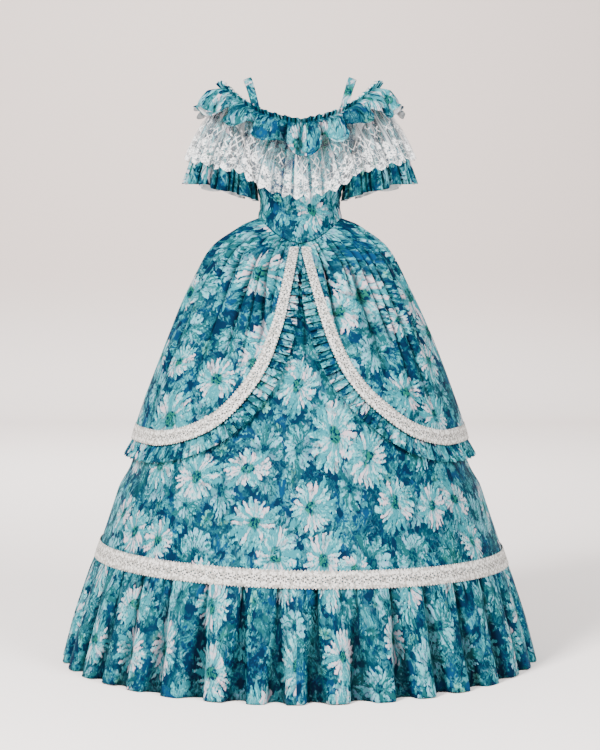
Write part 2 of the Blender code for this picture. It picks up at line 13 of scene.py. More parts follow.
import bpy
import numpy as np
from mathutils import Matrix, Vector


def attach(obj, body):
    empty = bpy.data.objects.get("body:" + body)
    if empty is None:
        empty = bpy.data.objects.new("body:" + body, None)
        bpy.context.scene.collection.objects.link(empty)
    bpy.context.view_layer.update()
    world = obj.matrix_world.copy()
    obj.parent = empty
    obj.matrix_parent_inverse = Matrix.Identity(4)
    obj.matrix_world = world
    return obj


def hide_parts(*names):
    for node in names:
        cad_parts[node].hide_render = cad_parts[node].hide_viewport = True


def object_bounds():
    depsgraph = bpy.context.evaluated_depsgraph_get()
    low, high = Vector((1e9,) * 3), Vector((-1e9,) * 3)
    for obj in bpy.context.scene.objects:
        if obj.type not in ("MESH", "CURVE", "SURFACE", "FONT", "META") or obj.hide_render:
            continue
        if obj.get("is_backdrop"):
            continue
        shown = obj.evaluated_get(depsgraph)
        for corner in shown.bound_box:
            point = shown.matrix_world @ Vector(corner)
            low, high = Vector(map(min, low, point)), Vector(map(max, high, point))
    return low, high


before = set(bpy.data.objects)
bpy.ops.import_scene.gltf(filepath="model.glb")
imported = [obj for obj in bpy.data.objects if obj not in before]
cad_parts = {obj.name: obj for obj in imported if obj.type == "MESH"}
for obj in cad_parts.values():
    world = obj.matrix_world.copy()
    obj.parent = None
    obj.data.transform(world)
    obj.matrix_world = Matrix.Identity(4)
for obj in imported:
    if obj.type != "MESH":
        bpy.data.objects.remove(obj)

cad_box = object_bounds()
bpy.ops.object.select_all(action="DESELECT")
print("The frame holds", len(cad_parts), "pieces inside", np.round(cad_box, 3).tolist())

# %% [markdown]
# ## The measurements
# Cloth is measured from the floor up, as a dressmaker does, and round the body by angle: 0 is the front
# middle and 90 degrees is the wearer's left. The tables repeat the frame's own sizes. The frame's zero
# height is the waist, so each sheet is dropped by the waist height when its mesh is made.

# %% Sizes shared by all the pieces
WAIST_HEIGHT = 1.137
HEM_RADIUS = 0.596
HEM_FRONT_DEPTH = 0.622
HEM_CLEARANCE = 0.001
FLOUNCE_SEAM_HEIGHT = 0.268
FLOUNCE_SEAM_TILT = 0.011
CLOTH = 0.0014
FINE_CLOTH = 0.0011
BODICE_CLOTH = 0.0016
TUCK_GAP = 0.0009
LAYER_GAP = 0.0004
SEAM_GAP = 0.0003
WAIST_POINT_DIP = 0.068
WAIST_POINT_SHARPNESS = 2.4
# How thick the cloth looks at its cut edges
LOOKS_THICK = 0.0007
FLAT_RIBBON = 0.0008
SIDES = ((1, "left"), (-1, "right"))


def column(table, columns, name):
    """One named column of a table."""
    place = columns.index(name)
    return [row[place] for row in table]


def smooth_curve(xs, ys):
    """A smooth curve through (xs, ys) that never overshoots them, to be read at any number or array."""
    xs, ys = np.array(xs, float), np.array(ys, float)
    steps = np.diff(xs)
    slopes = np.diff(ys) / steps
    tangents = np.concatenate([slopes[:1], np.zeros(len(slopes) - 1), slopes[-1:]])
    for k in range(1, len(slopes)):
        before, after = slopes[k - 1], slopes[k]
        if before * after > 0:
            tangents[k] = 2 * before * after / (before + after)

    def read(x):
        x = np.clip(x, xs[0], xs[-1])
        i = np.clip(np.searchsorted(xs, x, side="right") - 1, 0, len(slopes) - 1)
        t = (x - xs[i]) / steps[i]
        return (
            ys[i] * (1 + 2 * t) * (1 - t) ** 2
            + steps[i] * tangents[i] * t * (1 - t) ** 2
            + ys[i + 1] * t * t * (3 - 2 * t)
            - steps[i] * tangents[i + 1] * t * t * (1 - t)
        )

    return read


def table_curve(table, columns, across, name):
    """The smooth curve of one column of a table against another."""
    return smooth_curve(column(table, columns, across), column(table, columns, name))


def ease(t):
    """0 below 0, 1 above 1, and a smooth step between."""
    t = np.clip(t, 0.0, 1.0)
    return t * t * (3 - 2 * t)


def grow(value, start, span):
    """0 up to a start, 1 a span farther on, and a smooth step between."""
    return ease((value - start) / span)


def bell(value, middle, width):
    """1 at the middle, falling away smoothly on both sides."""
    return np.exp(-(((value - middle) / width) ** 2))


def stack(x, y, z):
    """Points from their three coordinates."""
    return np.stack(np.broadcast_arrays(x, y, z), axis=-1)


def unit(vectors):
    """Vectors made one metre long."""
    return vectors / np.linalg.norm(vectors, axis=-1, keepdims=True)


def level_unit(vectors):
    """The level direction of vectors, one metre long."""
    return unit(vectors * (1.0, 1.0, 0.0))


def oval(angle, half_width, front_depth, back_depth, squareness, height):
    """Points on a rounded section. Angle 0 is the front middle and 90 degrees the wearer's left."""
    across, along = np.sin(angle), np.cos(angle)
    power = 2.0 / squareness
    depth = np.where(along > 0, front_depth, back_depth)
    x = np.sign(across) * np.abs(across) ** power * half_width
    y = -np.sign(along) * np.abs(along) ** power * depth
    return stack(x, y, height)


def turned(angle):
    """Degrees away from the front middle, the same on both sides."""
    return np.abs(np.degrees(np.arctan2(np.sin(angle), np.cos(angle))))


print("At the front the waist seam is", round(WAIST_HEIGHT - WAIST_POINT_DIP, 3), "m above the floor")

# %% [markdown]
# ## How a sheet is made
# A real panel is cut flat, and its print is printed on the flat cloth. So each sheet here has two sets of
# places: where every point hangs, and where it lay on the flat cloth, in metres. The second is the sheet's
# own UV map, and the print, the net and the eyelets are all read from it, so they bend with the folds.
# Solidify then gives the sheet its thickness and puts the paler reverse on its inner face.


# %% The sheet maker
def lengths(points, axis):
    """Running length along the rows (axis 1) or down the columns (axis 0)."""
    steps = np.linalg.norm(np.diff(points, axis=axis), axis=-1)
    run = np.cumsum(steps, axis=axis)
    start = np.zeros_like(np.take(run, [0], axis=axis))
    return np.concatenate([start, run], axis=axis)


# A fold is looked for over a short and a long reach, and each is full at its own depth
HOLLOW_SIZES = ((0.012, 0.0024), (0.038, 0.0078))


def hollows(points, ring):
    """How deep each point lies in a fold of its sheet: 0 on a crest, 1 down in a crease. The materials paint
    shade by it.
    """
    spacing = np.linalg.norm(np.diff(points, axis=1), axis=-1).mean()
    outward = unit(np.cross(np.gradient(points, axis=0), np.gradient(points, axis=1)) + 1e-12)
    deepest = 0.0
    for reach, full in HOLLOW_SIZES:
        width = max(1, round(reach / spacing))
        edges = ((0, 0), (width, width), (0, 0))
        padded = np.pad(points[:, :-1], edges, "wrap") if ring else np.pad(points, edges, "reflect")
        if ring:
            padded = np.concatenate([padded, padded[:, 2 * width : 2 * width + 1]], axis=1)
        total = np.cumsum(np.concatenate([0 * padded[:, :1], padded], axis=1), axis=1)
        around = (total[:, 2 * width + 1 :] - total[:, : -2 * width - 1]) / (2 * width + 1)
        deep = ((around - points) * outward).sum(-1)
        deepest = np.maximum(deepest, ease(deep / full))
    return deepest


def give_thickness(piece, thickness, last_material=0):
    """Makes a sheet a wall that grows inwards, with the last of its materials on the inner face."""
    wall = piece.modifiers.new("Thickness", "SOLIDIFY")
    wall.thickness = thickness
    wall.offset = -1.0
    wall.material_offset = last_material


def make_sheet(name, points, cut, materials, ring=False, turn_over=False, thickness=LOOKS_THICK, under=None):
    """A sheet from rows of points, top to bottom, and the flat place of each.

    A ring repeats its first column. Under says for each column how far it lies beneath the pleat beside it,
    where the sheet is pleated; it is added to the fold depth, so these places get painted shade.
    """
    if turn_over:
        points, cut = points[:, ::-1], cut[:, ::-1]
    hollow = hollows(points, ring)
    if under is not None:
        hollow = np.maximum(hollow, under[::-1] if turn_over else under)
    shown = points[:, :-1] if ring else points
    rows, columns = shown.shape[:2]
    number = np.arange(rows * columns).reshape(rows, columns)
    if ring:
        number = np.concatenate([number, number[:, :1]], axis=1)
    corners = [number[:-1, :-1], number[1:, :-1], number[1:, 1:], number[:-1, 1:]]
    faces = np.stack(corners, axis=-1).reshape(-1, 4)
    places = (shown - (0.0, 0.0, WAIST_HEIGHT)).reshape(-1, 3)
    mesh = bpy.data.meshes.new(name)
    mesh.from_pydata(places.tolist(), [], faces.tolist())
    flat = np.stack([cut[:-1, :-1], cut[1:, :-1], cut[1:, 1:], cut[:-1, 1:]], axis=2)
    mesh.uv_layers.new(name="cut").data.foreach_set("uv", flat.ravel())
    hollow = hollow[:, :-1] if ring else hollow
    # The fold depth is kept on the mesh, and the cloth materials paint shade by it
    mesh.attributes.new("hollow", "FLOAT", "POINT").data.foreach_set("value", hollow.ravel())
    mesh.polygons.foreach_set("use_smooth", [True] * len(faces))
    piece = bpy.data.objects.new(name, mesh)
    bpy.context.scene.collection.objects.link(piece)
    for material in materials:
        mesh.materials.append(material)
    if thickness:
        give_thickness(piece, thickness, len(materials) - 1)
    return piece


def place_sheet(piece, points, node):
    """Puts a sheet on the frame in place of its plain wall."""
    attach(piece, "root")
    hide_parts(node)
    along, down = lengths(points, 1), lengths(points, 0)


# %% [markdown]
# ## The form that the cloth hangs on
# The bodice is a stack of rounded sections. The skirt flares from the waist seam to the hem along one
# profile. These are the same curves that the measured pieces were made with, read at as many places as a
# fold needs.

# %% Bodice form
BODICE_COLUMNS = ("height", "half_width", "front_depth", "back_depth", "squareness")
BODICE_SECTIONS = (
    (1.054, 0.120, 0.116, 0.090, 2.0),
    (1.137, 0.109, 0.092, 0.086, 2.0),
    (1.169, 0.1035, 0.084, 0.080, 2.0),
    (1.214, 0.111, 0.092, 0.085, 2.1),
    (1.264, 0.125, 0.108, 0.091, 2.2),
    (1.314, 0.140, 0.119, 0.096, 2.4),
    (1.364, 0.149, 0.118, 0.098, 2.7),
    (1.424, 0.154, 0.108, 0.098, 3.0),
)
BODICE_CURVES = [table_curve(BODICE_SECTIONS, BODICE_COLUMNS, "height", name) for name in BODICE_COLUMNS[1:]]

LINE_COLUMNS = ("angle", "height")
NECKLINE = (
    (0, 1.368), (25, 1.389), (48, 1.410), (62, 1.389), (78, 1.341), (90, 1.332),
    (104, 1.341), (122, 1.380), (138, 1.402), (158, 1.378), (180, 1.369),
)
neckline_height = table_curve(NECKLINE, LINE_COLUMNS, "angle", "height")


def bodice_point(angle, height, outwards=0.0):
    """Points on the outer face of the bodice, moved out by a distance."""
    half_width, front_depth, back_depth, squareness = [curve(height) for curve in BODICE_CURVES]
    return oval(
        angle, half_width + outwards, front_depth + outwards, back_depth + outwards, squareness, height
    )


def waist_seam_height(angle):
    """The seam is level at the back and dips to a point at the front."""
    return WAIST_HEIGHT - WAIST_POINT_DIP * np.maximum(0.0, np.cos(angle)) ** WAIST_POINT_SHARPNESS


# %% Skirt form
SKIRT_COLUMNS = ("drop", "spread")
SKIRT_PROFILE = (
    (0.000, 0.000), (0.028, 0.095), (0.064, 0.203), (0.120, 0.294), (0.193, 0.388), (0.303, 0.507),
    (0.448, 0.637), (0.613, 0.747), (0.760, 0.860), (0.796, 0.889), (0.869, 0.932), (0.943, 0.971),
    (1.000, 1.000),
)
spread_at = table_curve(SKIRT_PROFILE, SKIRT_COLUMNS, "drop", "spread")
UNDERSKIRT_COLUMNS = ("drop", "inset")
UNDERSKIRT_INSET = (
    (0.000, 0.0024), (0.030, 0.0105), (0.100, 0.0170), (0.300, 0.0150), (0.520, 0.0110),
    (0.620, 0.0020), (1.000, 0.0000),
)
underskirt_inset = table_curve(UNDERSKIRT_INSET, UNDERSKIRT_COLUMNS, "drop", "inset")


def flounce_seam_height(angle):
    """The flounce seam hangs a little lower on the wearer's left."""
    return FLOUNCE_SEAM_HEIGHT - FLOUNCE_SEAM_TILT * np.sin(angle)


def skirt_drop(angle, height):
    """Share of the drop from the waist seam to the floor."""
    top = waist_seam_height(angle)
    return np.maximum(0.0, (top - height) / top)


def skirt_point(angle, height, outwards=0.0):
    """Points on the skirt's smooth form."""
    start = bodice_point(angle, waist_seam_height(angle), -BODICE_CLOTH - TUCK_GAP)
    hem = oval(angle, HEM_RADIUS, HEM_FRONT_DEPTH, HEM_RADIUS, 2.0, 0.0)
    spread = spread_at(skirt_drop(angle, height))[..., None]
    place = start + (hem - start) * spread
    place[..., 2] = height
    return place + level_unit(hem - start) * np.asarray(outwards)[..., None]


def tuck_point(angle, below_seam, layers_in):
    """Points where a skirt runs up inside the bodice's bottom edge, under a number of other layers."""
    top = waist_seam_height(angle)
    inwards = BODICE_CLOTH + TUCK_GAP + layers_in * (CLOTH + TUCK_GAP)
    place = bodice_point(angle, np.maximum(top, top - below_seam), -inwards)
    place[..., 2] = top - below_seam
    return place


# The skirt opened flat is close to a sector of a ring, and its print runs over that sector
SECTOR_TURN = 0.5
SECTOR_START = 0.20
SLANT_SAMPLES = 200
side_heights = np.linspace(WAIST_HEIGHT, 0.0, SLANT_SAMPLES)
side_profile = skirt_point(np.full(SLANT_SAMPLES, math.pi / 2), side_heights)[None]
slant_at = smooth_curve(side_heights[::-1], lengths(side_profile, 1)[0][::-1])


def sector_place(angle, height):
    """Where a point of the skirt lay on the flat cloth."""
    far = SECTOR_START + slant_at(height)
    return np.stack([far * np.sin(SECTOR_TURN * angle), -far * np.cos(SECTOR_TURN * angle)], axis=-1)


print("The skirt's side is", round(float(slant_at(0.0)), 3), "m long from waist to floor")

# %% [markdown]
# ## Folds
# Gathered cloth is uneven: its folds differ in width and depth, they are broad and round where they stand
# out, and narrow where they sink in. Two small functions give that. One bends a wave so that its crest is
# broad and its valley is a crease. The other adds two waves of unlike count, each wandering a little.


# %% Fold shapes
# Two waves whose counts are in this ratio never fall into step
UNLIKE = 1.618


def fold_wave(number, crease):
    """A wave with its crests at whole numbers. A larger crease makes the valleys narrower."""
    turn = 2 * np.pi * number
    return np.cos(turn - crease * np.sin(turn))


def trough(off_middle, width, rim, spread):
    """1 in the middle of a groove, and a little below 0 on the soft banks beside it."""
    off = (off_middle / width) ** 2
    return np.exp(-off) - rim * np.exp(-off / spread)


def crinkle(angle, count, seed):
    """Uneven small gathers, from about -1 to 1, that close after one turn."""
    first = np.sin(count * angle + 1.9 * np.sin(5 * angle + seed) + seed)
    second = np.sin(round(count * UNLIKE) * angle + 2.3 * np.sin(7 * angle + 2 * seed) + 2.1 * seed)
    return 0.62 * first + 0.38 * second


def gathers(angle, count, seed):
    """Uneven gathers from 0 in a sharp valley to 1 on a round crest, that close after one turn."""
    turn = count * angle / 2 + 0.9 * np.sin(5 * angle + seed) + 0.7 * np.sin(9 * angle + 2 * seed) + seed
    return np.abs(np.sin(turn)) ** 0.8


def ring_place(waves, number):
    """The angle and the depth of a gathered ring's wave at each place along it."""
    count, size, seed = waves
    turn = 2 * np.pi * number / count
    uneven = np.sin(2 * turn + seed) + 0.8 * np.sin(5 * turn + 2.1 * seed) + 0.6 * np.sin(9 * turn + seed)
    depth = 1 + 0.22 * np.sin(3 * turn + 1.7 * seed) + 0.16 * np.sin(7 * turn + seed)
    return turn + 0.55 / count * uneven, size * depth


NECK_FLOUNCE_WAVES = (20, 0.0145, 0.6)
LACE_WAVES = (18, 0.0085, 2.4)
SLEEVE_WAVES = (7, 1.0, 1.3)
HEM_FLOUNCE_WAVES = (36, 0.0175, 4.2)

# %% [markdown]
# ## The printed cloth
# The cloth carries a painterly all-over print: pale daisies, aqua daisies and leaf sprays over brushed
# strokes of teal and deep blue. A printed texture could be an image, but a drawn recipe stays sharp at any
# size. Each flower sits in a cell of a Voronoi pattern. Its direction from the cell's centre gives the
# petal, and its distance gives the place along that petal, so every flower is drawn by the same few sums.
# The layout is this recipe's own.


# %% Short ways to add nodes
class Recipe:
    """A node tree with short ways to add to it."""

    def __init__(self, tree):
        self.tree = tree

    def wire(self, value, socket):
        """Gives a socket a value, or links it to another node's output."""
        if isinstance(value, bpy.types.NodeSocket):
            self.tree.links.new(value, socket)
        else:
            socket.default_value = value

    def add(self, kind, inputs=None, **settings):
        """A node with its settings, and its inputs by name or number."""
        made = self.tree.nodes.new(kind)
        for name, value in settings.items():
            setattr(made, name, value)
        for name, value in (inputs or {}).items():
            self.wire(value, made.inputs[name])
        return made

    def calc(self, operation, *values, clamp=False):
        """A Math node's result."""
        made = self.add("ShaderNodeMath", dict(enumerate(values)), operation=operation, use_clamp=clamp)
        return made.outputs[0]

    def times(self, *values, **how):
        """A product."""
        return self.calc("MULTIPLY", *values, **how)

    def plus(self, *values, **how):
        """A sum."""
        return self.calc("ADD", *values, **how)

    def minus(self, *values, **how):
        """A difference."""
        return self.calc("SUBTRACT", *values, **how)

    def over(self, *values, **how):
        """A quotient."""
        return self.calc("DIVIDE", *values, **how)

    def times_plus(self, *values):
        """The first times the second, plus the third."""
        return self.calc("MULTIPLY_ADD", *values)

    def larger(self, *values):
        """The larger of two numbers."""
        return self.calc("MAXIMUM", *values)

    def far(self, x, y):
        """How far a flat place is from zero."""
        return self.calc("SQRT", self.plus(self.times(x, x), self.times(y, y)))

    def vector(self, operation, *values):
        """A Vector Math node's result."""
        return self.add("ShaderNodeVectorMath", dict(enumerate(values)), operation=operation).outputs[0]

    def scaled(self, vector, amount):
        """A vector times a number."""
        made = self.add("ShaderNodeVectorMath", {0: vector, "Scale": amount}, operation="SCALE")
        return made.outputs[0]

    def split(self, vector):
        """A vector's x and y."""
        parts = self.add("ShaderNodeSeparateXYZ", {0: vector})
        return parts.outputs[0], parts.outputs[1]

    def join(self, x, y, z=0.0):
        """A vector from numbers."""
        return self.add("ShaderNodeCombineXYZ", {0: x, 1: y, 2: z}).outputs[0]

    def noise(self, place, scale, detail=2.0, roughness=0.5, distortion=0.0):
        """A soft noise. Its first output is a number and its second a colour."""
        sizes = {"Vector": place, "Scale": scale, "Detail": detail, "Roughness": roughness}
        sizes["Distortion"] = distortion
        return self.add("ShaderNodeTexNoise", sizes).outputs

    def cells(self, place, randomness=1.0, feature="F1"):
        """A flat Voronoi pattern with cells about one unit wide."""
        inputs = {"Vector": place, "Scale": 1.0, "Randomness": randomness}
        return self.add("ShaderNodeTexVoronoi", inputs, voronoi_dimensions="2D", feature=feature).outputs

    def chances(self, colour):
        """Three chance numbers, from a cell's colour."""
        return self.add("ShaderNodeSeparateColor", {0: colour}).outputs

    def group(self, tree, inputs):
        """A node group's outputs."""
        return self.add("ShaderNodeGroup", inputs, node_tree=tree).outputs

    def bump(self, height, distance, strength=1.0, under=None):
        """A bump's normal, over another's if there is one."""
        inputs = {"Height": height, "Distance": distance, "Strength": strength}
        if under is not None:
            inputs["Normal"] = under
        return self.add("ShaderNodeBump", inputs).outputs[0]

    def step(self, value, low, high):
        """0 below low, 1 above high and a smooth step between. Low may be the larger."""
        inputs = {0: value, 1: low, 2: high}
        return self.add("ShaderNodeMapRange", inputs, interpolation_type="SMOOTHSTEP").outputs[0]

    def blend(self, share, first, second, how="MIX"):
        """Two colours mixed."""
        made = self.add("ShaderNodeMix", data_type="RGBA", blend_type=how)
        for name, value in (("Factor_Float", share), ("A_Color", first), ("B_Color", second)):
            socket = next(s for s in made.inputs if s.identifier == name)
            self.wire(value if not isinstance(value, tuple) else (*value, 1.0), socket)
        return next(s for s in made.outputs if s.identifier == "Result_Color")

    def ramp(self, share, stops):
        """A colour ramp from (place, colour) stops."""
        made = self.add("ShaderNodeValToRGB", {0: share})
        elements = made.color_ramp.elements
        while len(elements) < len(stops):
            elements.new(0.5)
        for element, (place, colour) in zip(elements, stops):
            element.position = place
            element.color = (*colour, 1.0)
        return made.outputs[0]


def new_group(name, inputs, outputs):
    """An empty node group with named sockets: its tree, its input node and its output node."""
    tree = bpy.data.node_groups.new(name, "ShaderNodeTree")
    for socket_name, kind, value in inputs:
        socket = tree.interface.new_socket(socket_name, in_out="INPUT", socket_type=kind)
        if value is not None:
            socket.default_value = value
    for socket_name, kind in outputs:
        tree.interface.new_socket(socket_name, in_out="OUTPUT", socket_type=kind)
    return tree, tree.nodes.new("NodeGroupInput"), tree.nodes.new("NodeGroupOutput")


# %% One flower in each cell
VECTOR, NUMBER, COLOUR = "NodeSocketVector", "NodeSocketFloat", "NodeSocketColor"
daisy, given, result = new_group(
    "daisy",
    [("Place", VECTOR, None), ("Cell", NUMBER, 0.16), ("Petals", NUMBER, 15.0), ("Fill", NUMBER, 0.8),
     ("Seed", NUMBER, 0.0), ("Size", NUMBER, 0.42), ("Uneven", NUMBER, 0.0)],
    [("Petal", NUMBER), ("Eye", NUMBER), ("Streak", NUMBER), ("Groove", NUMBER), ("Reach", NUMBER),
     ("Halo", NUMBER), ("Tint", NUMBER)],
)
TURN = 6.2832
# The petal's round end starts at this share of the flower's reach
PETAL_SHOULDER = 0.42
r = Recipe(daisy)
given = given.outputs
cells = r.vector("DIVIDE", given["Place"], r.join(given["Cell"], given["Cell"], 1.0))
cells = r.vector("ADD", cells, r.join(given["Seed"], given["Seed"]))
found = r.cells(cells, 0.78)
chances = r.chances(found["Color"])
wobble = r.minus(r.noise(cells, 4.5, 2.0)[0], 0.5)
uneven = given["Uneven"]
off_x, off_y = r.split(r.vector("SUBTRACT", cells, found["Position"]))
off_x = r.times(off_x, r.times_plus(r.minus(chances[1], 0.2), uneven, 1.0))
off_y = r.times(off_y, r.times_plus(r.minus(chances[2], 0.4), uneven, 1.0))
far = r.far(off_x, off_y)
size = r.times(given["Size"], r.times_plus(chances[0], 0.35, 0.80))
reach = r.over(far, size)
turn = r.plus(r.calc("ARCTAN2", off_y, off_x), r.times(chances[1], TURN))
swept = r.times(r.times(reach, uneven), r.minus(chances[0], 0.5))
turn = r.plus(turn, swept)
turn = r.times(turn, r.over(given["Petals"], TURN))
turn = r.plus(turn, r.times(wobble, 1.5))
off_middle = r.times(r.calc("ABSOLUTE", r.minus(r.calc("FRACT", turn), 0.5)), 2.0)
petal_number = r.calc("FLOORED_MODULO", r.calc("FLOOR", turn), given["Petals"])
petal_seed = r.times_plus(chances[2], 91.7, petal_number)
petal_chance = r.add("ShaderNodeTexWhiteNoise", {"W": petal_seed}, noise_dimensions="1D").outputs["Value"]
shorter = r.times(reach, r.times_plus(petal_chance, 0.42, 1.0))
to_tip = r.over(r.minus(shorter, PETAL_SHOULDER), 1 - PETAL_SHOULDER, clamp=True)
wide = r.calc("SQRT", r.minus(1.0, r.times(to_tip, to_tip), clamp=True))
inside = r.step(r.minus(r.times(wide, 1.06), off_middle), 0.0, 0.20)
shown = r.calc("LESS_THAN", r.calc("FRACT", r.times(chances[2], 7.31)), given["Fill"])
along_petal = r.join(
    r.times_plus(petal_number, 5.3, r.times(r.calc("FRACT", turn), 1.7)),
    r.times(shorter, 1.3),
    r.times(chances[0], 40.0),
)
outputs = {
    "Petal": r.times(inside, shown),
    "Eye": r.times(r.step(r.times_plus(wobble, 0.30, reach), 0.24, 0.17), shown),
    "Streak": r.noise(along_petal, 2.4, 2.0, 0.6)[0],
    "Groove": r.times(r.step(off_middle, 0.55, 1.0), r.minus(1.0, to_tip)),
    "Reach": reach,
    "Halo": r.times(r.step(reach, 1.30, 0.85), shown),
    "Tint": petal_chance,
}
for name, value in outputs.items():
    r.wire(value, result.inputs[name])
print("One flower takes", len(daisy.nodes), "nodes")

# %% [markdown]
# The flowers lie on short brush strokes. A second Voronoi pattern cuts the ground into small patches, and
# a streaky noise is turned by a chance angle in each, which is how a loaded brush leaves its marks. Every
# place is first drawn towards the middle of a small upright dab, which breaks the edges up as paint does.
# Paints are linear values, because that is what a shader takes.

# %% The whole print
PAINTS = {
    "deep": (0.0004, 0.0055, 0.0150),
    "navy": (0.0006, 0.0115, 0.0320),
    "blue": (0.0030, 0.0330, 0.0860),
    "teal": (0.0060, 0.0600, 0.0680),
    "green": (0.0090, 0.0950, 0.0680),
    "aqua": (0.0200, 0.1550, 0.1850),
    "pale_aqua": (0.0720, 0.3100, 0.3300),
    "ice": (0.1350, 0.3600, 0.4000),
    "lilac": (0.1900, 0.2800, 0.4200),
    "milk": (0.2900, 0.3900, 0.4300),
    "blush": (0.4300, 0.3250, 0.3650),
    "lime": (0.0900, 0.2200, 0.0850),
}
DAB_SIZE = (0.0034, 0.0074, 1.0)
DAB_SHARE = 0.58
PATCH_SIZE = 0.042
FLECK_SIZE = 0.019
painted, given, result = new_group("painted_print", [("Place", VECTOR, None)], [("Colour", COLOUR)])
r = Recipe(painted)
place = given.outputs["Place"]
slow = r.scaled(r.vector("SUBTRACT", r.noise(place, 16.0)[1], (0.5, 0.5, 0.5)), 0.026)
quick = r.scaled(r.vector("SUBTRACT", r.noise(place, 95.0)[1], (0.5, 0.5, 0.5)), 0.006)
warped = r.vector("ADD", place, r.vector("ADD", slow, quick))
dab_middle = r.cells(r.vector("DIVIDE", warped, DAB_SIZE))["Position"]
dab_middle = r.vector("MULTIPLY", dab_middle, DAB_SIZE)
warped = r.vector("ADD", r.scaled(warped, 1 - DAB_SHARE), r.scaled(dab_middle, DAB_SHARE))


def brush_marks(patch, seed):
    """Streaks that lie another way in each small patch."""
    spread = r.vector("ADD", r.scaled(warped, 1.0 / patch), (seed, 2 * seed, 0.0))
    spot = r.cells(spread)
    local = r.vector("SUBTRACT", spread, spot["Position"])
    chance = r.chances(spot["Color"])
    swing = {"Vector": local, "Angle": r.times(chance[0], TURN)}
    x, y = r.split(r.add("ShaderNodeVectorRotate", swing, rotation_type="Z_AXIS").outputs[0])
    bowed = r.times_plus(r.times(x, x), 0.9, y)
    streak = r.join(r.times(x, 0.8), r.times(bowed, 4.2), r.times(chance[1], 30.0))
    tone = r.noise(streak, 1.5, 3.0, 0.6)[0]
    return r.times_plus(r.minus(chance[2], 0.5), 0.10, tone)


broad = r.noise(warped, 8.5, 2.0, 0.55)[0]
tone = r.times_plus(broad, 0.55, r.times(brush_marks(PATCH_SIZE, 3.1), 0.62))
GROUND_STOPS = (
    (0.49, "deep"), (0.535, "navy"), (0.57, "blue"), (0.61, "teal"), (0.67, "aqua"), (0.76, "pale_aqua"),
)
FLECK_STOPS = ((0.39, "deep"), (0.46, "teal"), (0.55, "aqua"), (0.66, "ice"))
ground = r.ramp(tone, [(place, PAINTS[paint]) for place, paint in GROUND_STOPS])
ground = r.blend(r.step(r.noise(warped, 11.0)[0], 0.54, 0.70), ground, PAINTS["green"])
flecks = r.ramp(brush_marks(FLECK_SIZE, 7.7), [(place, PAINTS[paint]) for place, paint in FLECK_STOPS])
ground = r.blend(r.times(r.step(r.noise(warped, 26.0)[0], 0.40, 0.56), 0.80), ground, flecks)


def lay_flowers(under, cell, petals, fill, seed, size, body, edge, base, shade, eye):
    """Paints one layer of flowers over a colour. The last five are its paints."""
    sizes = {"Place": warped, "Cell": cell, "Petals": petals, "Fill": fill, "Seed": seed, "Size": size}
    out = r.group(daisy, {**sizes, "Uneven": 0.7})
    shaded = r.blend(r.times(out["Halo"], 0.55), under, PAINTS["navy"])
    fleck = r.times(r.noise(warped, 150.0, 2.0)[0], 0.70)
    tint = r.times_plus(out["Streak"], 1.35, r.times_plus(out["Tint"], 0.55, -0.81))
    tint = r.plus(tint, fleck)
    light = PAINTS["blush"] if edge == PAINTS["milk"] else body
    colour = r.ramp(tint, [(0.33, shade), (0.42, base), (0.51, body), (0.61, edge), (0.72, light)])
    to_heart = r.step(r.times_plus(out["Tint"], 0.25, out["Reach"]), 0.62, 0.22)
    colour = r.blend(r.times(to_heart, 0.85), colour, shade)
    colour = r.blend(out["Groove"], colour, shade)
    heart = r.blend(r.step(r.noise(warped, 210.0, 1.0)[0], 0.42, 0.58), eye, PAINTS["navy"])
    colour = r.blend(out["Eye"], colour, heart)
    return r.blend(r.larger(out["Petal"], out["Eye"]), shaded, colour)


FLOWER_COLUMNS = ("cell", "petals", "fill", "seed", "size", "body", "edge", "base", "shade", "eye")
PAINT_COLUMNS = FLOWER_COLUMNS[-5:]
FLOWERS = (
    (0.150, 7.0, 0.95, 4.3, 0.70, "teal", "aqua", "blue", "navy", "navy"),
    (0.108, 11.0, 0.85, 2.9, 0.62, "aqua", "pale_aqua", "teal", "blue", "navy"),
    (0.058, 8.0, 0.18, 9.1, 0.46, "pale_aqua", "lime", "aqua", "teal", "green"),
    (0.120, 17.0, 0.70, 1.7, 0.60, "pale_aqua", "lilac", "aqua", "teal", "teal"),
    (0.150, 21.0, 0.80, 6.4, 0.58, "ice", "milk", "pale_aqua", "aqua", "green"),
)
colour = ground
for row in FLOWERS:
    flower = dict(zip(FLOWER_COLUMNS, row))
    paints = {name: PAINTS[flower.pop(name)] for name in PAINT_COLUMNS}
    colour = lay_flowers(colour, **flower, **paints)
dabs = r.step(r.noise(warped, 44.0)[0], 0.52, 0.62)
colour = r.blend(r.times(dabs, 0.62), colour, flecks)
r.wire(colour, result.inputs["Colour"])
print("The print takes", len(painted.nodes), "nodes over", len(FLOWERS), "layers of flowers")

# %% [markdown]
# The cloth itself is a light crisp weave that hardly shines, so its paints stay deep where the light grazes
# it. The bump adds the weave and the faint crumple of thin cloth. The reverse is paler, with the print only
# ghosting through, and shows inside the sleeves, the flounce and the neck. Folds get painted shade: their
# colour is darkened a little by how deep they are, which the sheet maker measured.


# %% Cloth materials
def start_material(name):
    """A material, its recipe, its shader and its place on the flat cloth."""
    material = bpy.data.materials.new(name)
    material.use_nodes = True
    recipe = Recipe(material.node_tree)
    shader = material.node_tree.nodes["Principled BSDF"]
    flat = recipe.add("ShaderNodeUVMap", uv_map="cut").outputs[0]
    return material, recipe, shader, flat


CRUMPLE_HEIGHT = 0.0016
WEAVE_HEIGHT = 0.00004
THREADS_A_METRE = 5200.0


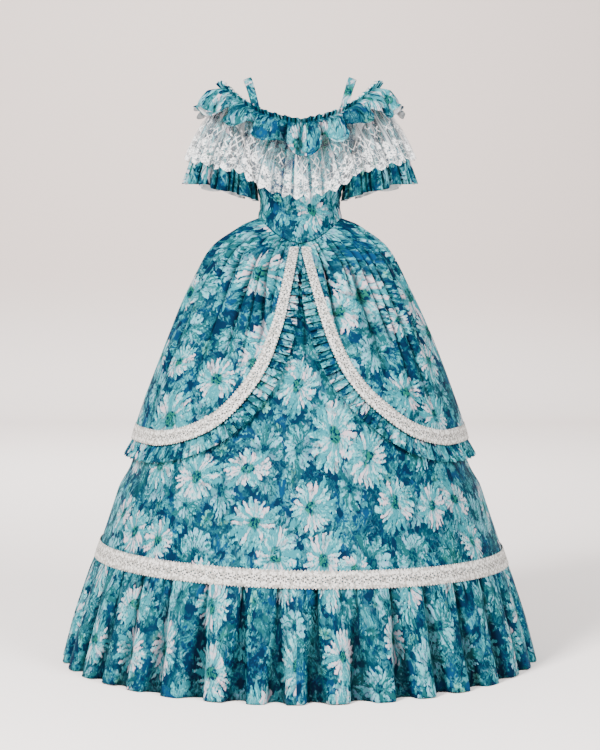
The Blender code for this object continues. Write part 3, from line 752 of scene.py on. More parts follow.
def cloth_bump(recipe, flat):
    """The faint crumple of thin cloth and the weave over it."""
    crumple = recipe.bump(recipe.noise(flat, 26.0, 3.0, 0.55)[0], CRUMPLE_HEIGHT)
    x, y = recipe.split(recipe.scaled(flat, THREADS_A_METRE))
    threads = recipe.times(recipe.calc("SINE", x), recipe.calc("SINE", y))
    return recipe.bump(threads, WEAVE_HEIGHT, under=crumple)


def painted_fold_shade(recipe, colour, strength):
    """Painted shade: a colour darkened down in the folds, where little light reaches the cloth."""
    hollow = recipe.add("ShaderNodeAttribute", attribute_name="hollow").outputs["Fac"]
    dark = recipe.blend(1.0, colour, (0.10, 0.14, 0.16), "MULTIPLY")
    return recipe.blend(recipe.times(hollow, strength), colour, dark)


def finish_cloth(shader, roughness, sheen):
    """Plain values of a cloth, on the shader's own sockets."""
    shader.inputs["Roughness"].default_value = roughness
    shader.inputs["Sheen Weight"].default_value = sheen
    shader.inputs["Sheen Roughness"].default_value = 0.4
    shader.inputs["Specular IOR Level"].default_value = 0.02


def print_piece(node, points, cut, held, rests_on, fullness, **made):
    """A sheet of the printed cloth in place of one node, made and placed."""
    piece = make_sheet(node + "_cloth", points, cut, [print_face, print_back], **made)
    place_sheet(piece, points, node)


print_face, r, shader, flat = start_material("printed_cloth")
pattern = r.group(painted, {"Place": flat})["Colour"]
# The print is darkened in the folds: painted shade
r.wire(painted_fold_shade(r, pattern, 0.85), shader.inputs["Base Color"])
r.wire(cloth_bump(r, flat), shader.inputs["Normal"])
finish_cloth(shader, 0.62, 0.0)

print_back, r, shader, flat = start_material("printed_cloth_reverse")
pattern = r.group(painted, {"Place": flat})["Colour"]
pale = r.blend(r.noise(flat, 60.0)[0], (0.60, 0.64, 0.67), (0.72, 0.74, 0.75))
r.wire(r.blend(0.20, pale, pattern), shader.inputs["Base Color"])
r.wire(cloth_bump(r, flat), shader.inputs["Normal"])
finish_cloth(shader, 0.70, 0.0)

# %% [markdown]
# ## Lace
# The lace is a fine net worked with flowers. The flowers crowd towards the scalloped hem, and above them
# comes a row of open diamonds and then bare net. The thread is solid and the rest is air, so the pattern
# goes to the shader's Alpha. The net's own holes are too small to see from here, so the bare net is mostly
# a thin veil, with a little of its mesh.

# %% Lace material
LACE_PITCH = 0.034
MESHES_A_METRE = 380.0
CORDS_A_METRE = 85.0
DIAMOND_HIGH = 0.026
DIAMOND_WIDE = 0.017
DIAMOND_LINE = (0.12, 0.05)
lace_face, r, shader, flat = start_material("embroidered_net")
x, y = r.split(flat)
mesh_lines = r.cells(r.scaled(flat, MESHES_A_METRE), 0.25, "DISTANCE_TO_EDGE")["Distance"]
mesh_lines = r.step(mesh_lines, 0.16, 0.06)
pulled = r.noise(r.join(r.times(x, 130.0), r.times(y, 5.0)), 1.0, 3.0, 0.6)[0]
net = r.times_plus(mesh_lines, 0.10, r.times_plus(r.step(pulled, 0.50, 0.66), 0.50, 0.08))


def lace_flowers(cell, petals, fill, seed, size):
    """Flowers worked in thread: solid petals with an open line between them."""
    sizes = {"Place": flat, "Cell": cell, "Petals": petals, "Fill": fill, "Seed": seed, "Size": size}
    flower = r.group(daisy, sizes)
    solid = r.times(flower["Petal"], r.step(flower["Reach"], 0.16, 0.26))
    return r.times(solid, r.minus(1.0, r.times(flower["Groove"], 0.9)))


large = lace_flowers(LACE_PITCH * 0.8, 7.0, 0.9, 2.2, 0.46)
small = lace_flowers(LACE_PITCH * 0.46, 5.0, 0.45, 5.8, 0.50)
cords = r.cells(r.scaled(flat, CORDS_A_METRE), 1.0, "DISTANCE_TO_EDGE")["Distance"]
cords = r.step(cords, 0.11, 0.04)
worked = r.larger(r.larger(large, small), r.times(cords, 0.6))
uneven_top = r.times_plus(r.calc("SINE", r.times(x, TURN / LACE_PITCH)), 0.010, y)
straying = r.times(r.minus(r.noise(flat, 40.0)[0], 0.5), 0.03)
uneven_top = r.plus(uneven_top, straying)
in_worked = r.step(uneven_top, 0.072, 0.054)
leaning = r.times(y, 1.0 / DIAMOND_HIGH)
across = r.times(x, 1.0 / DIAMOND_WIDE)
slants = []
for side in (1.0, -1.0):
    line = r.calc("FRACT", r.times_plus(leaning, side, across))
    slants.append(r.step(r.calc("ABSOLUTE", r.minus(line, 0.5)), *DIAMOND_LINE))
diamonds = r.larger(*slants)
in_band = r.times(r.step(uneven_top, 0.122, 0.110), r.step(uneven_top, 0.052, 0.066))
sprigs = r.times(diamonds, in_band)
sprigs = r.times(sprigs, r.step(r.noise(flat, 34.0)[0], 0.44, 0.52))
thread = r.larger(r.times(worked, in_worked), r.times(sprigs, 0.9))
dense_edge = r.step(y, 0.020, 0.008)
thread = r.larger(thread, r.times(dense_edge, r.larger(cords, 0.45)))
veil = r.larger(net, r.times(in_worked, 0.12))
r.wire(r.larger(veil, r.times(thread, 0.82)), shader.inputs["Alpha"])
whites = r.blend(thread, (0.50, 0.53, 0.55), (0.78, 0.78, 0.78))
# The lace is darkened in its folds too: painted shade
r.wire(painted_fold_shade(r, whites, 0.90), shader.inputs["Base Color"])
raised = r.times_plus(r.noise(flat, 900.0, 2.0)[0], 0.5, thread)
r.wire(r.bump(raised, 0.0006, 0.8), shader.inputs["Normal"])
finish_cloth(shader, 0.75, 0.05)

# %% [markdown]
# ## Galloon ribbon
# The three trims are one kind of stiff, close lace ribbon with both edges scalloped. Every couple of
# centimetres it has a little flower of pierced eyelets, and its face is embossed with corded petals.
# The scallops are cut in the mesh. The eyelets are holes in Alpha, because there are hundreds.

# %% Ribbon material
EYELET_PITCH = 0.0235
EYELET_RING = 0.0056
EYELET_RADIUS = 0.0014
# Between two flowers: how high, how many holes, and how far they are from their middle
MORE_EYELETS = ((0.0, 2.0, 0.0030), (0.0082, 1.0, 0.0), (-0.0082, 1.0, 0.0))
CREAM_STOPS = (
    (0.38, (0.26, 0.25, 0.23)), (0.46, (0.46, 0.44, 0.41)), (0.54, (0.66, 0.63, 0.59)),
    (0.66, (0.77, 0.74, 0.71)),
)
ribbon_face, r, shader, flat = start_material("galloon_ribbon")
x, y = r.split(flat)


def eyelet_flower(shift, height, spokes, ring, radius):
    """How near a point is to one of a ring of holes round a centre: 1 in a hole. The second result is a
    wider ring round each hole, for painted shade.
    """
    along = r.over(r.plus(x, shift), EYELET_PITCH)
    local_x = r.times(r.minus(r.calc("FRACT", along), 0.5), EYELET_PITCH)
    local_y = r.minus(y, height)
    far = r.far(local_x, local_y)
    part = TURN / spokes
    angle = r.calc("ARCTAN2", local_y, local_x)
    angle = r.minus(r.calc("FLOORED_MODULO", r.plus(angle, part / 2), part), part / 2)
    out = r.minus(r.times(far, r.calc("COSINE", angle)), ring)
    aside = r.times(far, r.calc("SINE", angle))
    near = r.far(out, aside)
    return r.step(near, radius * 1.2, radius * 0.85), r.step(near, radius * 1.70, radius * 1.30)


holes, hole_shade = eyelet_flower(0.0, 0.0, 5.0, EYELET_RING, EYELET_RADIUS)
for height, spokes, ring in MORE_EYELETS:
    more_holes, more_hole_shade = eyelet_flower(EYELET_PITCH / 2, height, spokes, ring, EYELET_RADIUS * 0.8)
    holes, hole_shade = r.larger(holes, more_holes), r.larger(hole_shade, more_hole_shade)
sizes = {"Place": flat, "Cell": 0.011, "Petals": 6.0, "Fill": 1.0, "Seed": 3.3, "Size": 0.55}
emboss = r.group(daisy, sizes)
petals = r.times(emboss["Petal"], r.minus(1.0, emboss["Groove"]))
thread = r.noise(flat, 1500.0, 2.0, 0.7)[0]
patches = r.noise(flat, 140.0, 3.0, 0.6)[0]
tone = r.times_plus(thread, 0.30, r.times(patches, 0.48))
cream = r.ramp(r.times_plus(petals, 0.22, tone), CREAM_STOPS)
# Painted shade: a near-black ring round each eyelet, standing for the shadow at the hole's edge
r.wire(r.blend(r.times(hole_shade, 0.90), cream, (0.07, 0.07, 0.075)), shader.inputs["Base Color"])
r.wire(r.minus(1.0, holes), shader.inputs["Alpha"])
relief = r.times_plus(thread, 0.35, petals)
r.wire(r.bump(relief, 0.0009, 0.9), shader.inputs["Normal"])
finish_cloth(shader, 0.80, 0.05)
print("Materials:", [m.name for m in (print_face, print_back, lace_face, ribbon_face)])

# %% [markdown]
# ## Bodice
# The bodice is cut as a front and two backs, joined at the sides and fastened down the middle of the back.
# It is shaped by long seams over the bust, which show as faint grooves, and it creases a little at the
# waist, where the body bends. Each panel is one sheet on the bodice form.

# %% Bodice panels
# Columns: name, start and end in degrees, columns of the sheet, and how far up the bolt it was cut
BODICE_PANELS = (
    ("bodice_front", -90, 90, 120, 2.034),
    ("bodice_back_left", 90, 180, 60, 2.714),
    ("bodice_back_right", -180, -90, 60, 2.884),
)
BODICE_PRINT_ACROSS = 0.435
BODICE_MEAN_RADIUS = 0.128
BODICE_ROWS = 60
BODICE_FULLNESS = 1.04
SEAM_ANGLES = (34.0, 146.0)
SEAM_HALF_WIDTH = 0.9
SEAM_DEPTH = 0.0007
CREASE_SIZE = 0.0012
CREASE_PITCH = 0.021


def bodice_relief(angle, height):
    """Seam grooves and the small creases of the waist."""
    groove = sum(bell(turned(angle), seam, SEAM_HALF_WIDTH) for seam in SEAM_ANGLES)
    wander = 0.010 * np.sin(3 * angle + 0.8) + 0.006 * np.sin(7 * angle)
    creases = np.sin(2 * np.pi * (height + wander) / CREASE_PITCH) * np.sin(5.3 * angle + 31 * height)
    near_waist = grow(height, 1.09, 0.04) * ease((1.25 - height) / 0.05)
    return CREASE_SIZE * creases * near_waist - SEAM_DEPTH * groove


for name, start, end, columns, print_up in BODICE_PANELS:
    across = np.radians(np.linspace(start, end, columns + 1))
    angle, level = np.meshgrid(across, np.linspace(0, 1, BODICE_ROWS + 1))
    top, bottom = neckline_height(turned(angle)), waist_seam_height(angle)
    height = top + (bottom - top) * level
    near_edge = ease(level / 0.05) * ease((1 - level) / 0.05)
    points = bodice_point(angle, height, bodice_relief(angle, height) * near_edge)
    cut = np.stack([BODICE_MEAN_RADIUS * angle + BODICE_PRINT_ACROSS, height + print_up], axis=-1)
    print_piece(name, points, cut, "stretched", [], BODICE_FULLNESS, thickness=0.0012)

# %% [markdown]
# ## Shoulder straps
# Two narrow bands of the same cloth, folded and stitched, go over the shoulders and are caught inside the
# bodice. A few cross rows are enough, and a Subdivision Surface rounds the arch.

# %% Straps
STRAP_WIDTH = 0.021
STRAP_FRONT_ANGLE = 41.0
STRAP_BACK_ANGLE = 141.0
STRAP_LAP = (0.017, 0.001)
STRAP_SEAT = 0.0027
STRAP_CROWN = 0.0009
STRAP_PRINT = (0.9, 0.4)
# Columns: x, y, height, tilt
STRAP_ARCH = (
    (0.1185, -0.0835, 1.4360, -0.10),
    (0.1270, -0.0610, 1.4690, -0.25),
    (0.1345, -0.0300, 1.4915, -0.36),
    (0.1375, 0.0020, 1.4975, -0.40),
    (0.1340, 0.0330, 1.4880, -0.36),
    (0.1240, 0.0640, 1.4600, -0.25),
)


def strap_anchor(side, degrees, below, order):
    """Three points across a strap's end, on the inner face of the bodice."""
    angle = math.radians(degrees)
    height = float(neckline_height(degrees)) - below
    step = 0.02
    reach = np.linalg.norm(bodice_point(angle + step, height) - bodice_point(angle, height))
    turn = STRAP_WIDTH / 2 * step / reach
    return [bodice_point(angle + k * turn, height, -STRAP_SEAT) * (side, 1, 1) for k in (-order, 0, order)]


def strap_rows(side):
    """Cross rows of one strap from the front over the shoulder to the back."""
    rows = [strap_anchor(side, STRAP_FRONT_ANGLE, below, 1) for below in STRAP_LAP]
    for x, y, height, tilt in STRAP_ARCH:
        across = unit(np.array([side, 0.0, tilt])) * STRAP_WIDTH / 2
        middle = np.array([side * x, y, height])
        crown = unit(np.array([0.0, y, 0.06])) * STRAP_CROWN
        rows.append([middle - across, middle + crown, middle + across])
    rows += [strap_anchor(side, STRAP_BACK_ANGLE, below, -1) for below in STRAP_LAP[::-1]]
    return np.array(rows)


for side, hand in SIDES:
    name = "shoulder_strap_" + hand
    points = strap_rows(side)
    cut = np.stack([lengths(points, 1), -lengths(points, 0)], axis=-1)
    cut = cut + (side * STRAP_PRINT[0], STRAP_PRINT[1])
    piece = make_sheet(name + "_band", points, cut, [print_face], turn_over=side > 0, thickness=0)
    rounder = piece.modifiers.new("Rounder", "SUBSURF")
    rounder.levels = rounder.render_levels = 3
    give_thickness(piece, FINE_CLOTH)
    place_sheet(piece, points, name)

# %% [markdown]
# ## The elastic line and the neck flounce
# A strip of print cloth about three times as long as the neckline is drawn up on elastic. Above it, it
# stands as a crinkled heading, and below it falls in large rounded lobes. Real gathers start tight and
# merge as they fall, so three sizes of fold are added: the crinkle at the elastic fades first, then the
# middle folds, and only the lobes reach the hem.

# %% Neck flounce
RING_LINE = (
    (0, 1.368), (20, 1.388), (40, 1.419), (58, 1.452), (72, 1.467), (90, 1.470), (108, 1.465), (122, 1.449),
    (145, 1.411), (162, 1.386), (180, 1.376),
)
NECK_HEM_LINE = (
    (0, 1.295), (13, 1.316), (27, 1.350), (41, 1.382), (62, 1.400), (90, 1.410),
    (118, 1.398), (145, 1.349), (180, 1.304),
)
LACE_HEM_LINE = (
    (0, 1.183), (10, 1.197), (18, 1.222), (24, 1.245), (40, 1.260), (60, 1.277),
    (90, 1.293), (130, 1.267), (155, 1.226), (180, 1.214),
)
ring_height = table_curve(RING_LINE, LINE_COLUMNS, "angle", "height")
neck_hem_height = table_curve(NECK_HEM_LINE, LINE_COLUMNS, "angle", "height")
lace_hem_height = table_curve(LACE_HEM_LINE, LINE_COLUMNS, "angle", "height")
RING_SIZE = (0.203, 0.1215, 0.112, 2.25)
NECK_HEM_SIZE = (0.250, 0.163, 0.152, 2.2)
LACE_HEM_SIZE = (0.291, 0.158, 0.150, 2.5)
HEADING = 0.013
HEADING_FLARE = 0.0035
FLOUNCE_COLUMNS = ("share", "out", "wave")
NECK_FLOUNCE_ROWS = ((0.00, 0.000, 0.00), (0.22, 0.013, 0.35), (0.58, 0.012, 0.75), (1.00, 0.000, 1.00))
BULGE_LIFT = 0.4
LACE_ROWS = ((0.00, 0.000, 0.00), (0.30, -0.002, 0.12), (0.66, 0.002, 0.70), (1.00, 0.000, 1.00))
LACE_SEAT = 0.0020
NECK_COLUMNS_ROUND = 840
NECK_HEADING_ROWS = 6
NECK_ROWS = 27
GATHER_COUNT = 132
FOLD_COUNT = 54
BUNCH_COUNT = 30
HEADING_CRINKLES = 61
GATHER_SIZE = 0.0026
TIP_ANGLE = 80
TIP_SPAN = 17
NECK_PRINT = (0.35, 0.77)
NECK_FULLNESS = 1.25


def ring_point(angle, outwards=0.0, above=0.0):
    """Points on the elastic line round the shoulders."""
    half_width, front_depth, back_depth, squareness = RING_SIZE
    height = ring_height(turned(angle)) + above
    front_depth, back_depth = front_depth + outwards, back_depth + outwards
    return oval(angle, half_width + outwards, front_depth, back_depth, squareness, height)


def sideways(away):
    """The level direction square to another, towards a larger angle."""
    return np.stack([-away[..., 1], away[..., 0], 0 * away[..., 0]], axis=-1)


def ring_cut(points, drop, start):
    """Flat places of a gathered ring: its length is read at the hem, because the seam is drawn up."""
    along = lengths(points[-1:], 1)[0]
    return np.stack([np.broadcast_to(along, drop.shape), -drop], axis=-1) + start


number = np.linspace(0, NECK_FLOUNCE_WAVES[0], NECK_COLUMNS_ROUND + 1)
angle, size = ring_place(NECK_FLOUNCE_WAVES, number)
start = ring_point(angle)
end = oval(angle, *NECK_HEM_SIZE, neck_hem_height(turned(angle)))
away = level_unit(end - start)
tips = bell(turned(angle), TIP_ANGLE, TIP_SPAN)
gather = (2 * gathers(angle, GATHER_COUNT, 1.0) - 1) * (1 - 0.85 * tips)
gather += crinkle(angle, BUNCH_COUNT, 5.0) * 1.5 * tips
folds = crinkle(angle, FOLD_COUNT, 2.6)
lobe = fold_wave(number + 0.04 * folds, 0.45)
overhang = 0.0105 * np.sin(2 * np.pi * number) + 0.0035 * np.sin(4 * np.pi * number)
from_crest = np.abs((number + 0.5) % 1.0 - 0.5)
hang = np.cos(2 * np.pi * np.minimum(1.15 * from_crest, 0.5)) * (1 + 0.35 * np.sin(7 * angle + 0.6))
bunched = 1 + 0.25 * bell(turned(angle), 74, 20)
out_at = table_curve(NECK_FLOUNCE_ROWS, FLOUNCE_COLUMNS, "share", "out")
wave_at = table_curve(NECK_FLOUNCE_ROWS, FLOUNCE_COLUMNS, "share", "wave")
rows, drops = [], []
for rise in np.linspace(1, 0, NECK_HEADING_ROWS + 1)[:-1]:
    out = (HEADING_FLARE + 0.006 * tips) * rise * (1 - 0.6 * tips * rise)
    out += gather * (GATHER_SIZE + 0.0045 * rise * bunched)
    above = HEADING * rise * (1 + 0.25 * tips)
    above += (0.0022 + 0.0020 * tips) * rise * crinkle(angle, HEADING_CRINKLES, 4.0)
    rows.append(ring_point(angle, out, above))
    drops.append(-HEADING * rise + 0 * angle)
fall = np.linalg.norm(end - start, axis=-1)
for share in np.linspace(0, 1, NECK_ROWS + 1):
    tight = gather * (GATHER_SIZE + GATHER_SIZE * ease(share / 0.08)) * (1 - ease(share / 0.6))
    middle = folds * 0.0060 * ease(share / 0.15) * (1 - 0.7 * grow(share, 0.35, 0.60))
    push = out_at(share) + size * lobe * (1.3 - 0.35 * tips) * wave_at(share) + tight + middle
    curl = 0.008 * grow(share, 0.80, 0.20) * np.maximum(lobe, 0)
    place = start + (end - start) * share + away * (push + curl)[:, None]
    place += sideways(away) * (overhang * share**1.2)[:, None]
    place[:, 2] += BULGE_LIFT * out_at(share) - (0.018 - 0.034 * tips) * hang * share**1.3 + 0.9 * curl
    rows.append(place)
    drops.append(fall * share)
points, drop = np.array(rows), np.array(drops)
cut = ring_cut(points, drop, NECK_PRINT)
on_bodice = ["bodice_front_cloth"]
print_piece("neck_flounce", points, cut, "gathered", on_bodice, NECK_FULLNESS, ring=True, thickness=0.0006)

# %% [markdown]
# ## Lace flounce
# The lace hangs from the same elastic under the print flounce. It is lighter, so its folds are smaller and
# straighter, and its lower edge is cut in scallops. It is one layer with no thickness, because net is
# thinner than a sheet of paper.

# %% Lace flounce
LACE_COLUMNS_ROUND = 1260
LACE_ROWS_DOWN = 34
SCALLOP_DEPTH = 0.012
LACE_GATHER_COUNT = 118
LACE_FOLD_COUNT = 58
number = np.linspace(0, LACE_WAVES[0], LACE_COLUMNS_ROUND + 1)
angle, size = ring_place(LACE_WAVES, number)
start = ring_point(angle, -LACE_SEAT)
end = oval(angle, *LACE_HEM_SIZE, lace_hem_height(turned(angle)))
away = level_unit(end - start)
gather = 2 * gathers(angle, LACE_GATHER_COUNT, 3.0) - 1
folds = 2 * gathers(angle, LACE_FOLD_COUNT, 0.4) - 1.2
lobe = fold_wave(number, 0.5)
out_at = table_curve(LACE_ROWS, FLOUNCE_COLUMNS, "share", "out")
wave_at = table_curve(LACE_ROWS, FLOUNCE_COLUMNS, "share", "wave")
fall = np.linalg.norm(end - start, axis=-1)
hem_run = lengths((end + away * (size * lobe)[:, None])[None], 1)[0]
scallops = round(hem_run[-1] / LACE_PITCH)
scallop = np.abs(np.sin(np.pi * hem_run / hem_run[-1] * scallops))
scallop = 0.6 * scallop**0.7 + 0.4 * scallop**3
ripple = np.abs(np.sin(5 * np.pi * hem_run / hem_run[-1] * scallops))
rows, drops = [], []
for share in np.linspace(0, 1, LACE_ROWS_DOWN + 1):
    fine = gather * 0.0018 * ease(share / 0.1) * (1 - grow(share, 0.3, 0.6))
    middle = folds * 0.0052 * ease(share / 0.25) * (1 - 0.30 * share)
    push = out_at(share) + 0.95 * size * lobe * wave_at(share) + fine + middle
    place = start + (end - start) * share + away * push[:, None]
    lower = (SCALLOP_DEPTH * (scallop - 0.45) + 0.0016 * ripple) * grow(share, 0.80, 0.20)
    place[:, 2] -= lower
    rows.append(place)
    drops.append(fall * share + lower - fall - SCALLOP_DEPTH * 0.55)
points, drop = np.array(rows), np.array(drops)
cut = ring_cut(points, drop, (0.0, 0.0))
cut[..., 0] *= scallops * LACE_PITCH / cut[0, -1, 0]
piece = make_sheet("lace_flounce_net", points, cut, [lace_face], ring=True, thickness=0)
place_sheet(piece, points, "lace_flounce")
print(scallops, "scallops round the lace hem")

# %% [markdown]
# ## Sleeves
# Each sleeve is short and flared, set under the lace and open at both ends. Its folds fall straight from
# the arm, deep and round at the hem, where the pale reverse shows.

# %% Sleeves
SLEEVE_COLUMNS = ("middle", "half_width", "half_depth", "inner_height", "outer_height", "wave")
SLEEVE_SECTIONS = (
    (0.1738, 0.0259, 0.070, 1.336, 1.456, 0.0000),
    (0.1800, 0.0400, 0.076, 1.309, 1.416, 0.0020),
    (0.1890, 0.0600, 0.080, 1.273, 1.349, 0.0040),
    (0.1965, 0.0745, 0.082, 1.228, 1.289, 0.0055),
    (0.2040, 0.0860, 0.084, 1.183, 1.228, 0.0085),
)
SLEEVE_LEVELS = np.linspace(0, 1, len(SLEEVE_SECTIONS))
SLEEVE_TABLE = [column(SLEEVE_SECTIONS, SLEEVE_COLUMNS, name) for name in SLEEVE_COLUMNS]
SLEEVE_CURVES = [smooth_curve(SLEEVE_LEVELS, values) for values in SLEEVE_TABLE]
SLEEVE_PLACES_ROUND = 325
SLEEVE_ROWS = 37
SLEEVE_PRINT = (1.4, 0.2)
SLEEVE_FULLNESS = 1.15
across = np.linspace(0, SLEEVE_WAVES[0], SLEEVE_PLACES_ROUND)
number, level = np.meshgrid(across, np.linspace(0, 1, SLEEVE_ROWS))
angle, depth = ring_place(SLEEVE_WAVES, number)
middle, half_width, half_depth, inner, outer, wave_size = [curve(level) for curve in SLEEVE_CURVES]
small_folds = (gathers(angle, 23, 1.9) - 0.6) * 0.0150 * ease(level / 0.7)
wave = wave_size * depth * fold_wave(number, 0.45) + small_folds
hem_fold = -0.0006 * bell(level, 0.955, 0.008)
x = middle + (half_width + wave + hem_fold) * np.sin(angle)
y = -(half_depth + wave + hem_fold) * np.cos(angle)
z = inner + (outer - inner) * (0.5 + 0.5 * np.sin(angle)) - 0.0035 * fold_wave(number, 0.45) * level**3
for side, hand in SIDES:
    points = stack(side * x, y, z)
    cut = ring_cut(points, lengths(points, 0), (side * SLEEVE_PRINT[0], SLEEVE_PRINT[1]))
    print_piece(
        "sleeve_" + hand, points, cut, "gathered", ["lace_flounce_net"], SLEEVE_FULLNESS,
        ring=True, turn_over=side < 0, thickness=0.0008,
    )

# %% [markdown]
# ## Underskirt
# The main skirt is a front and a back, smooth over a full petticoat. In front it is drawn into the waist
# point, which leaves a few long narrow folds between the overskirt's edges.

# %% Underskirt
UNDERSKIRT_TUCK = (-0.0040, 0.0038)
UNDER_ROOM = 0.016
FRILL_ROOM = 0.010
UNDERSKIRT_PANELS = (("underskirt_front", -90, 90), ("underskirt_back", 90, 270))
UNDERSKIRT_COLUMNS_ACROSS = 241
UNDERSKIRT_ROWS = 70
# The form takes over from the tuck at this share of the drop
FIRST_SHARE = 0.02
UNDERSKIRT_PRINT = (0.4, 0.1)
UNDERSKIRT_FULLNESS = 1.06
# Columns: angle and width in degrees, depth, and reach as a share of the drop
UNDER_FOLDS = (
    (-4.6, 1.3, 0.0075, 0.26), (-1.7, 1.2, 0.0060, 0.20), (2.2, 1.5, 0.0085, 0.36),
    (6.0, 1.5, 0.0060, 0.24), (-9.0, 2.0, 0.0060, 0.40), (11.5, 2.2, 0.0055, 0.42),
    (-27.0, 4.0, 0.0050, 0.75), (31.0, 4.5, 0.0050, 0.80), (-62.0, 5.0, 0.0050, 0.85),
    (66.0, 5.5, 0.0050, 0.85), (104.0, 6.0, 0.0055, 0.85), (150.0, 6.0, 0.0055, 0.85),
    (205.0, 6.0, 0.0055, 0.85), (248.0, 6.0, 0.0055, 0.85),
)


def underskirt_push(angle, drop):
    """Soft narrow troughs that run down from the waist and fade."""
    push = 0.0
    degrees = np.degrees(angle)
    for middle, width, depth, reach in UNDER_FOLDS:
        lean = middle * (1 + 0.25 * drop)
        groove = trough(degrees - lean, width * (1 + 1.5 * drop), 0.55, 5)
        fading = 1 - grow(drop, 0.55 * reach, 0.45 * reach)
        push = push - depth * groove * grow(drop, 0.02, 0.06) * fading
    return push + 0.0015 * ease(drop / 0.3) * np.sin(9 * angle + 8 * drop) * np.sin(5 * angle + 1)


for name, first, last in UNDERSKIRT_PANELS:
    across = np.radians(np.linspace(first, last, UNDERSKIRT_COLUMNS_ACROSS))
    top, bottom = waist_seam_height(across), flounce_seam_height(across) + SEAM_GAP
    start_height = top * (1 - FIRST_SHARE)
    rows = [tuck_point(across, below, 1) for below in UNDERSKIRT_TUCK]
    for share in FIRST_SHARE + (1 - FIRST_SHARE) * np.linspace(0, 1, UNDERSKIRT_ROWS) ** 1.2:
        height = start_height + (bottom - start_height) * (share - FIRST_SHARE) / (1 - FIRST_SHARE)
        drop = skirt_drop(across, height)
        push = underskirt_push(across, drop) * grow(height, bottom, 0.05)
        hidden = grow(turned(across), 14, 8) * grow(drop, 0.02, 0.04) * (1 - grow(drop, 0.30, 0.16))
        under_frill = grow(turned(across), 50, 20) * grow(drop, 0.40, 0.08) * (1 - grow(drop, 0.565, 0.05))
        push = push - UNDER_ROOM * hidden - FRILL_ROOM * under_frill * (1 - hidden)
        rows.append(skirt_point(across, height, push - underskirt_inset(drop)))
    points = np.array(rows)
    cut = sector_place(across[None] + 0 * points[..., 2], points[..., 2]) + UNDERSKIRT_PRINT
    print_piece(name, points, cut, "hung", on_bodice, UNDERSKIRT_FULLNESS)

# %% [markdown]
# ## Hem flounce
# A strip about half as long again as the seam is pleated onto the skirt. At the seam each fold is a short
# sharp tuck, and between tucks the cloth lies nearly flat. Towards the floor the tucks open into broad soft
# waves. So two shapes are blended: narrow grooves that fade downwards, and waves that grow.

# %% Hem flounce
HEM_FLOUNCE_ROWS = ((0.00, 0.000, 0.03), (0.30, 0.001, 0.40), (0.64, 0.003, 0.80), (1.00, 0.004, 1.00))
HEM_COLUMNS_ROUND = 1296
HEM_ROWS_DOWN = 24
TUCK_DEPTH = 0.0180
SMALL_TUCK_DEPTH = 0.0050
HEM_PRINT = (0.15, 0.63)
HEM_FULLNESS = 1.15
number = np.linspace(0, HEM_FLOUNCE_WAVES[0], HEM_COLUMNS_ROUND + 1)
angle, size = ring_place(HEM_FLOUNCE_WAVES, number)
top = flounce_seam_height(angle)
strong = 0.72 + 0.50 * np.sin(5 * angle + 0.7) * np.sin(11 * angle + 2.0)
from_valley = (number + 0.5) % 1.0 - 0.5
from_valley = np.abs(np.abs(from_valley) - 0.5)
tuck = np.exp(-((from_valley / 0.075) ** 2)) - 0.32 * np.exp(-((from_valley / 0.22) ** 2))
lean = np.sin(9 * angle + 0.4) / (0.25 + np.abs(np.sin(9 * angle + 0.4)))
second = (number * 2.0 + 0.31 * np.sin(4 * angle)) % 1.0 - 0.5
small_tuck = np.exp(-((second / 0.10) ** 2)) * (0.5 + 0.5 * np.sin(8 * angle + 1.0))
out_at = table_curve(HEM_FLOUNCE_ROWS, FLOUNCE_COLUMNS, "share", "out")
wave_at = table_curve(HEM_FLOUNCE_ROWS, FLOUNCE_COLUMNS, "share", "wave")
wander = 0.07 * np.sin(6 * angle + 1.0)
rows = []
for share in np.linspace(0, 1, HEM_ROWS_DOWN + 1):
    wave = fold_wave(number + wander * share, 0.42)
    height = top + (HEM_CLEARANCE - top) * share
    narrow = TUCK_DEPTH * strong * tuck * ease(share / 0.04) * (1 - grow(share, 0.05, 0.75))
    narrow += SMALL_TUCK_DEPTH * small_tuck * ease(share / 0.04) * (1 - grow(share, 0.05, 0.35))
    push = out_at(share) + 0.95 * size * wave * wave_at(share) - narrow
    place = skirt_point(angle, height, push)
    slid = 0.006 * np.sin(4 * np.pi * number) * share**1.5
    slid += 0.011 * lean * np.maximum(tuck, 0) * ease(share / 0.04) * (1 - grow(share, 0.05, 0.65))
    place += sideways(level_unit(place)) * slid[:, None]
    place[:, 2] += 0.001 * (1 + np.sin(13 * angle)) * share**3
    rows.append(place)
points = np.array(rows)
cut = ring_cut(points, top[None] - points[..., 2], HEM_PRINT)
print_piece("hem_flounce", points, cut, "gathered", ["underskirt_front_cloth"], HEM_FULLNESS, ring=True)

# %% [markdown]
# ## Overskirt
# Each half is gathered hard into the waist, sweeps back from the front and meets the other half at the
# middle of the back. The deep folds are in the measured form already, as troughs that fade as they fall.
# On top come the short gathers under the seam. Near the sweeping edge everything is held flat by the trim.

# %% Overskirt form
EDGE_COLUMNS = ("height", "angle_right", "angle_left")
EDGE_LINE = (
    (1.064, 7.5, 7.5), (1.048, 6.1, 6.2), (1.005, 6.6, 7.4), (0.941, 8.3, 10.1), (0.878, 10.1, 12.7),
    (0.827, 12.4, 15.0), (0.778, 14.9, 17.8), (0.738, 17.9, 21.0), (0.698, 21.8, 25.3), (0.663, 26.0, 30.6),
    (0.632, 31.4, 36.0), (0.608, 38.5, 42.0), (0.592, 46.5, 49.5), (0.584, 56.0, 58.0), (0.586, 70.0, 72.0),
    (0.588, 95.0, 95.0), (0.580, 135.0, 135.0), (0.574, 180.0, 180.0),
)
EDGE_SAMPLES = 400
EDGE_START = 0.004
EDGE_END = 0.9985
EDGE_RADIUS = 0.40
FLAT_DEGREES = 3.0
FLAT_FADE_DEGREES = 7.0
TRIM_WIDTH_TOP = 0.024
TRIM_WIDTH = 0.039
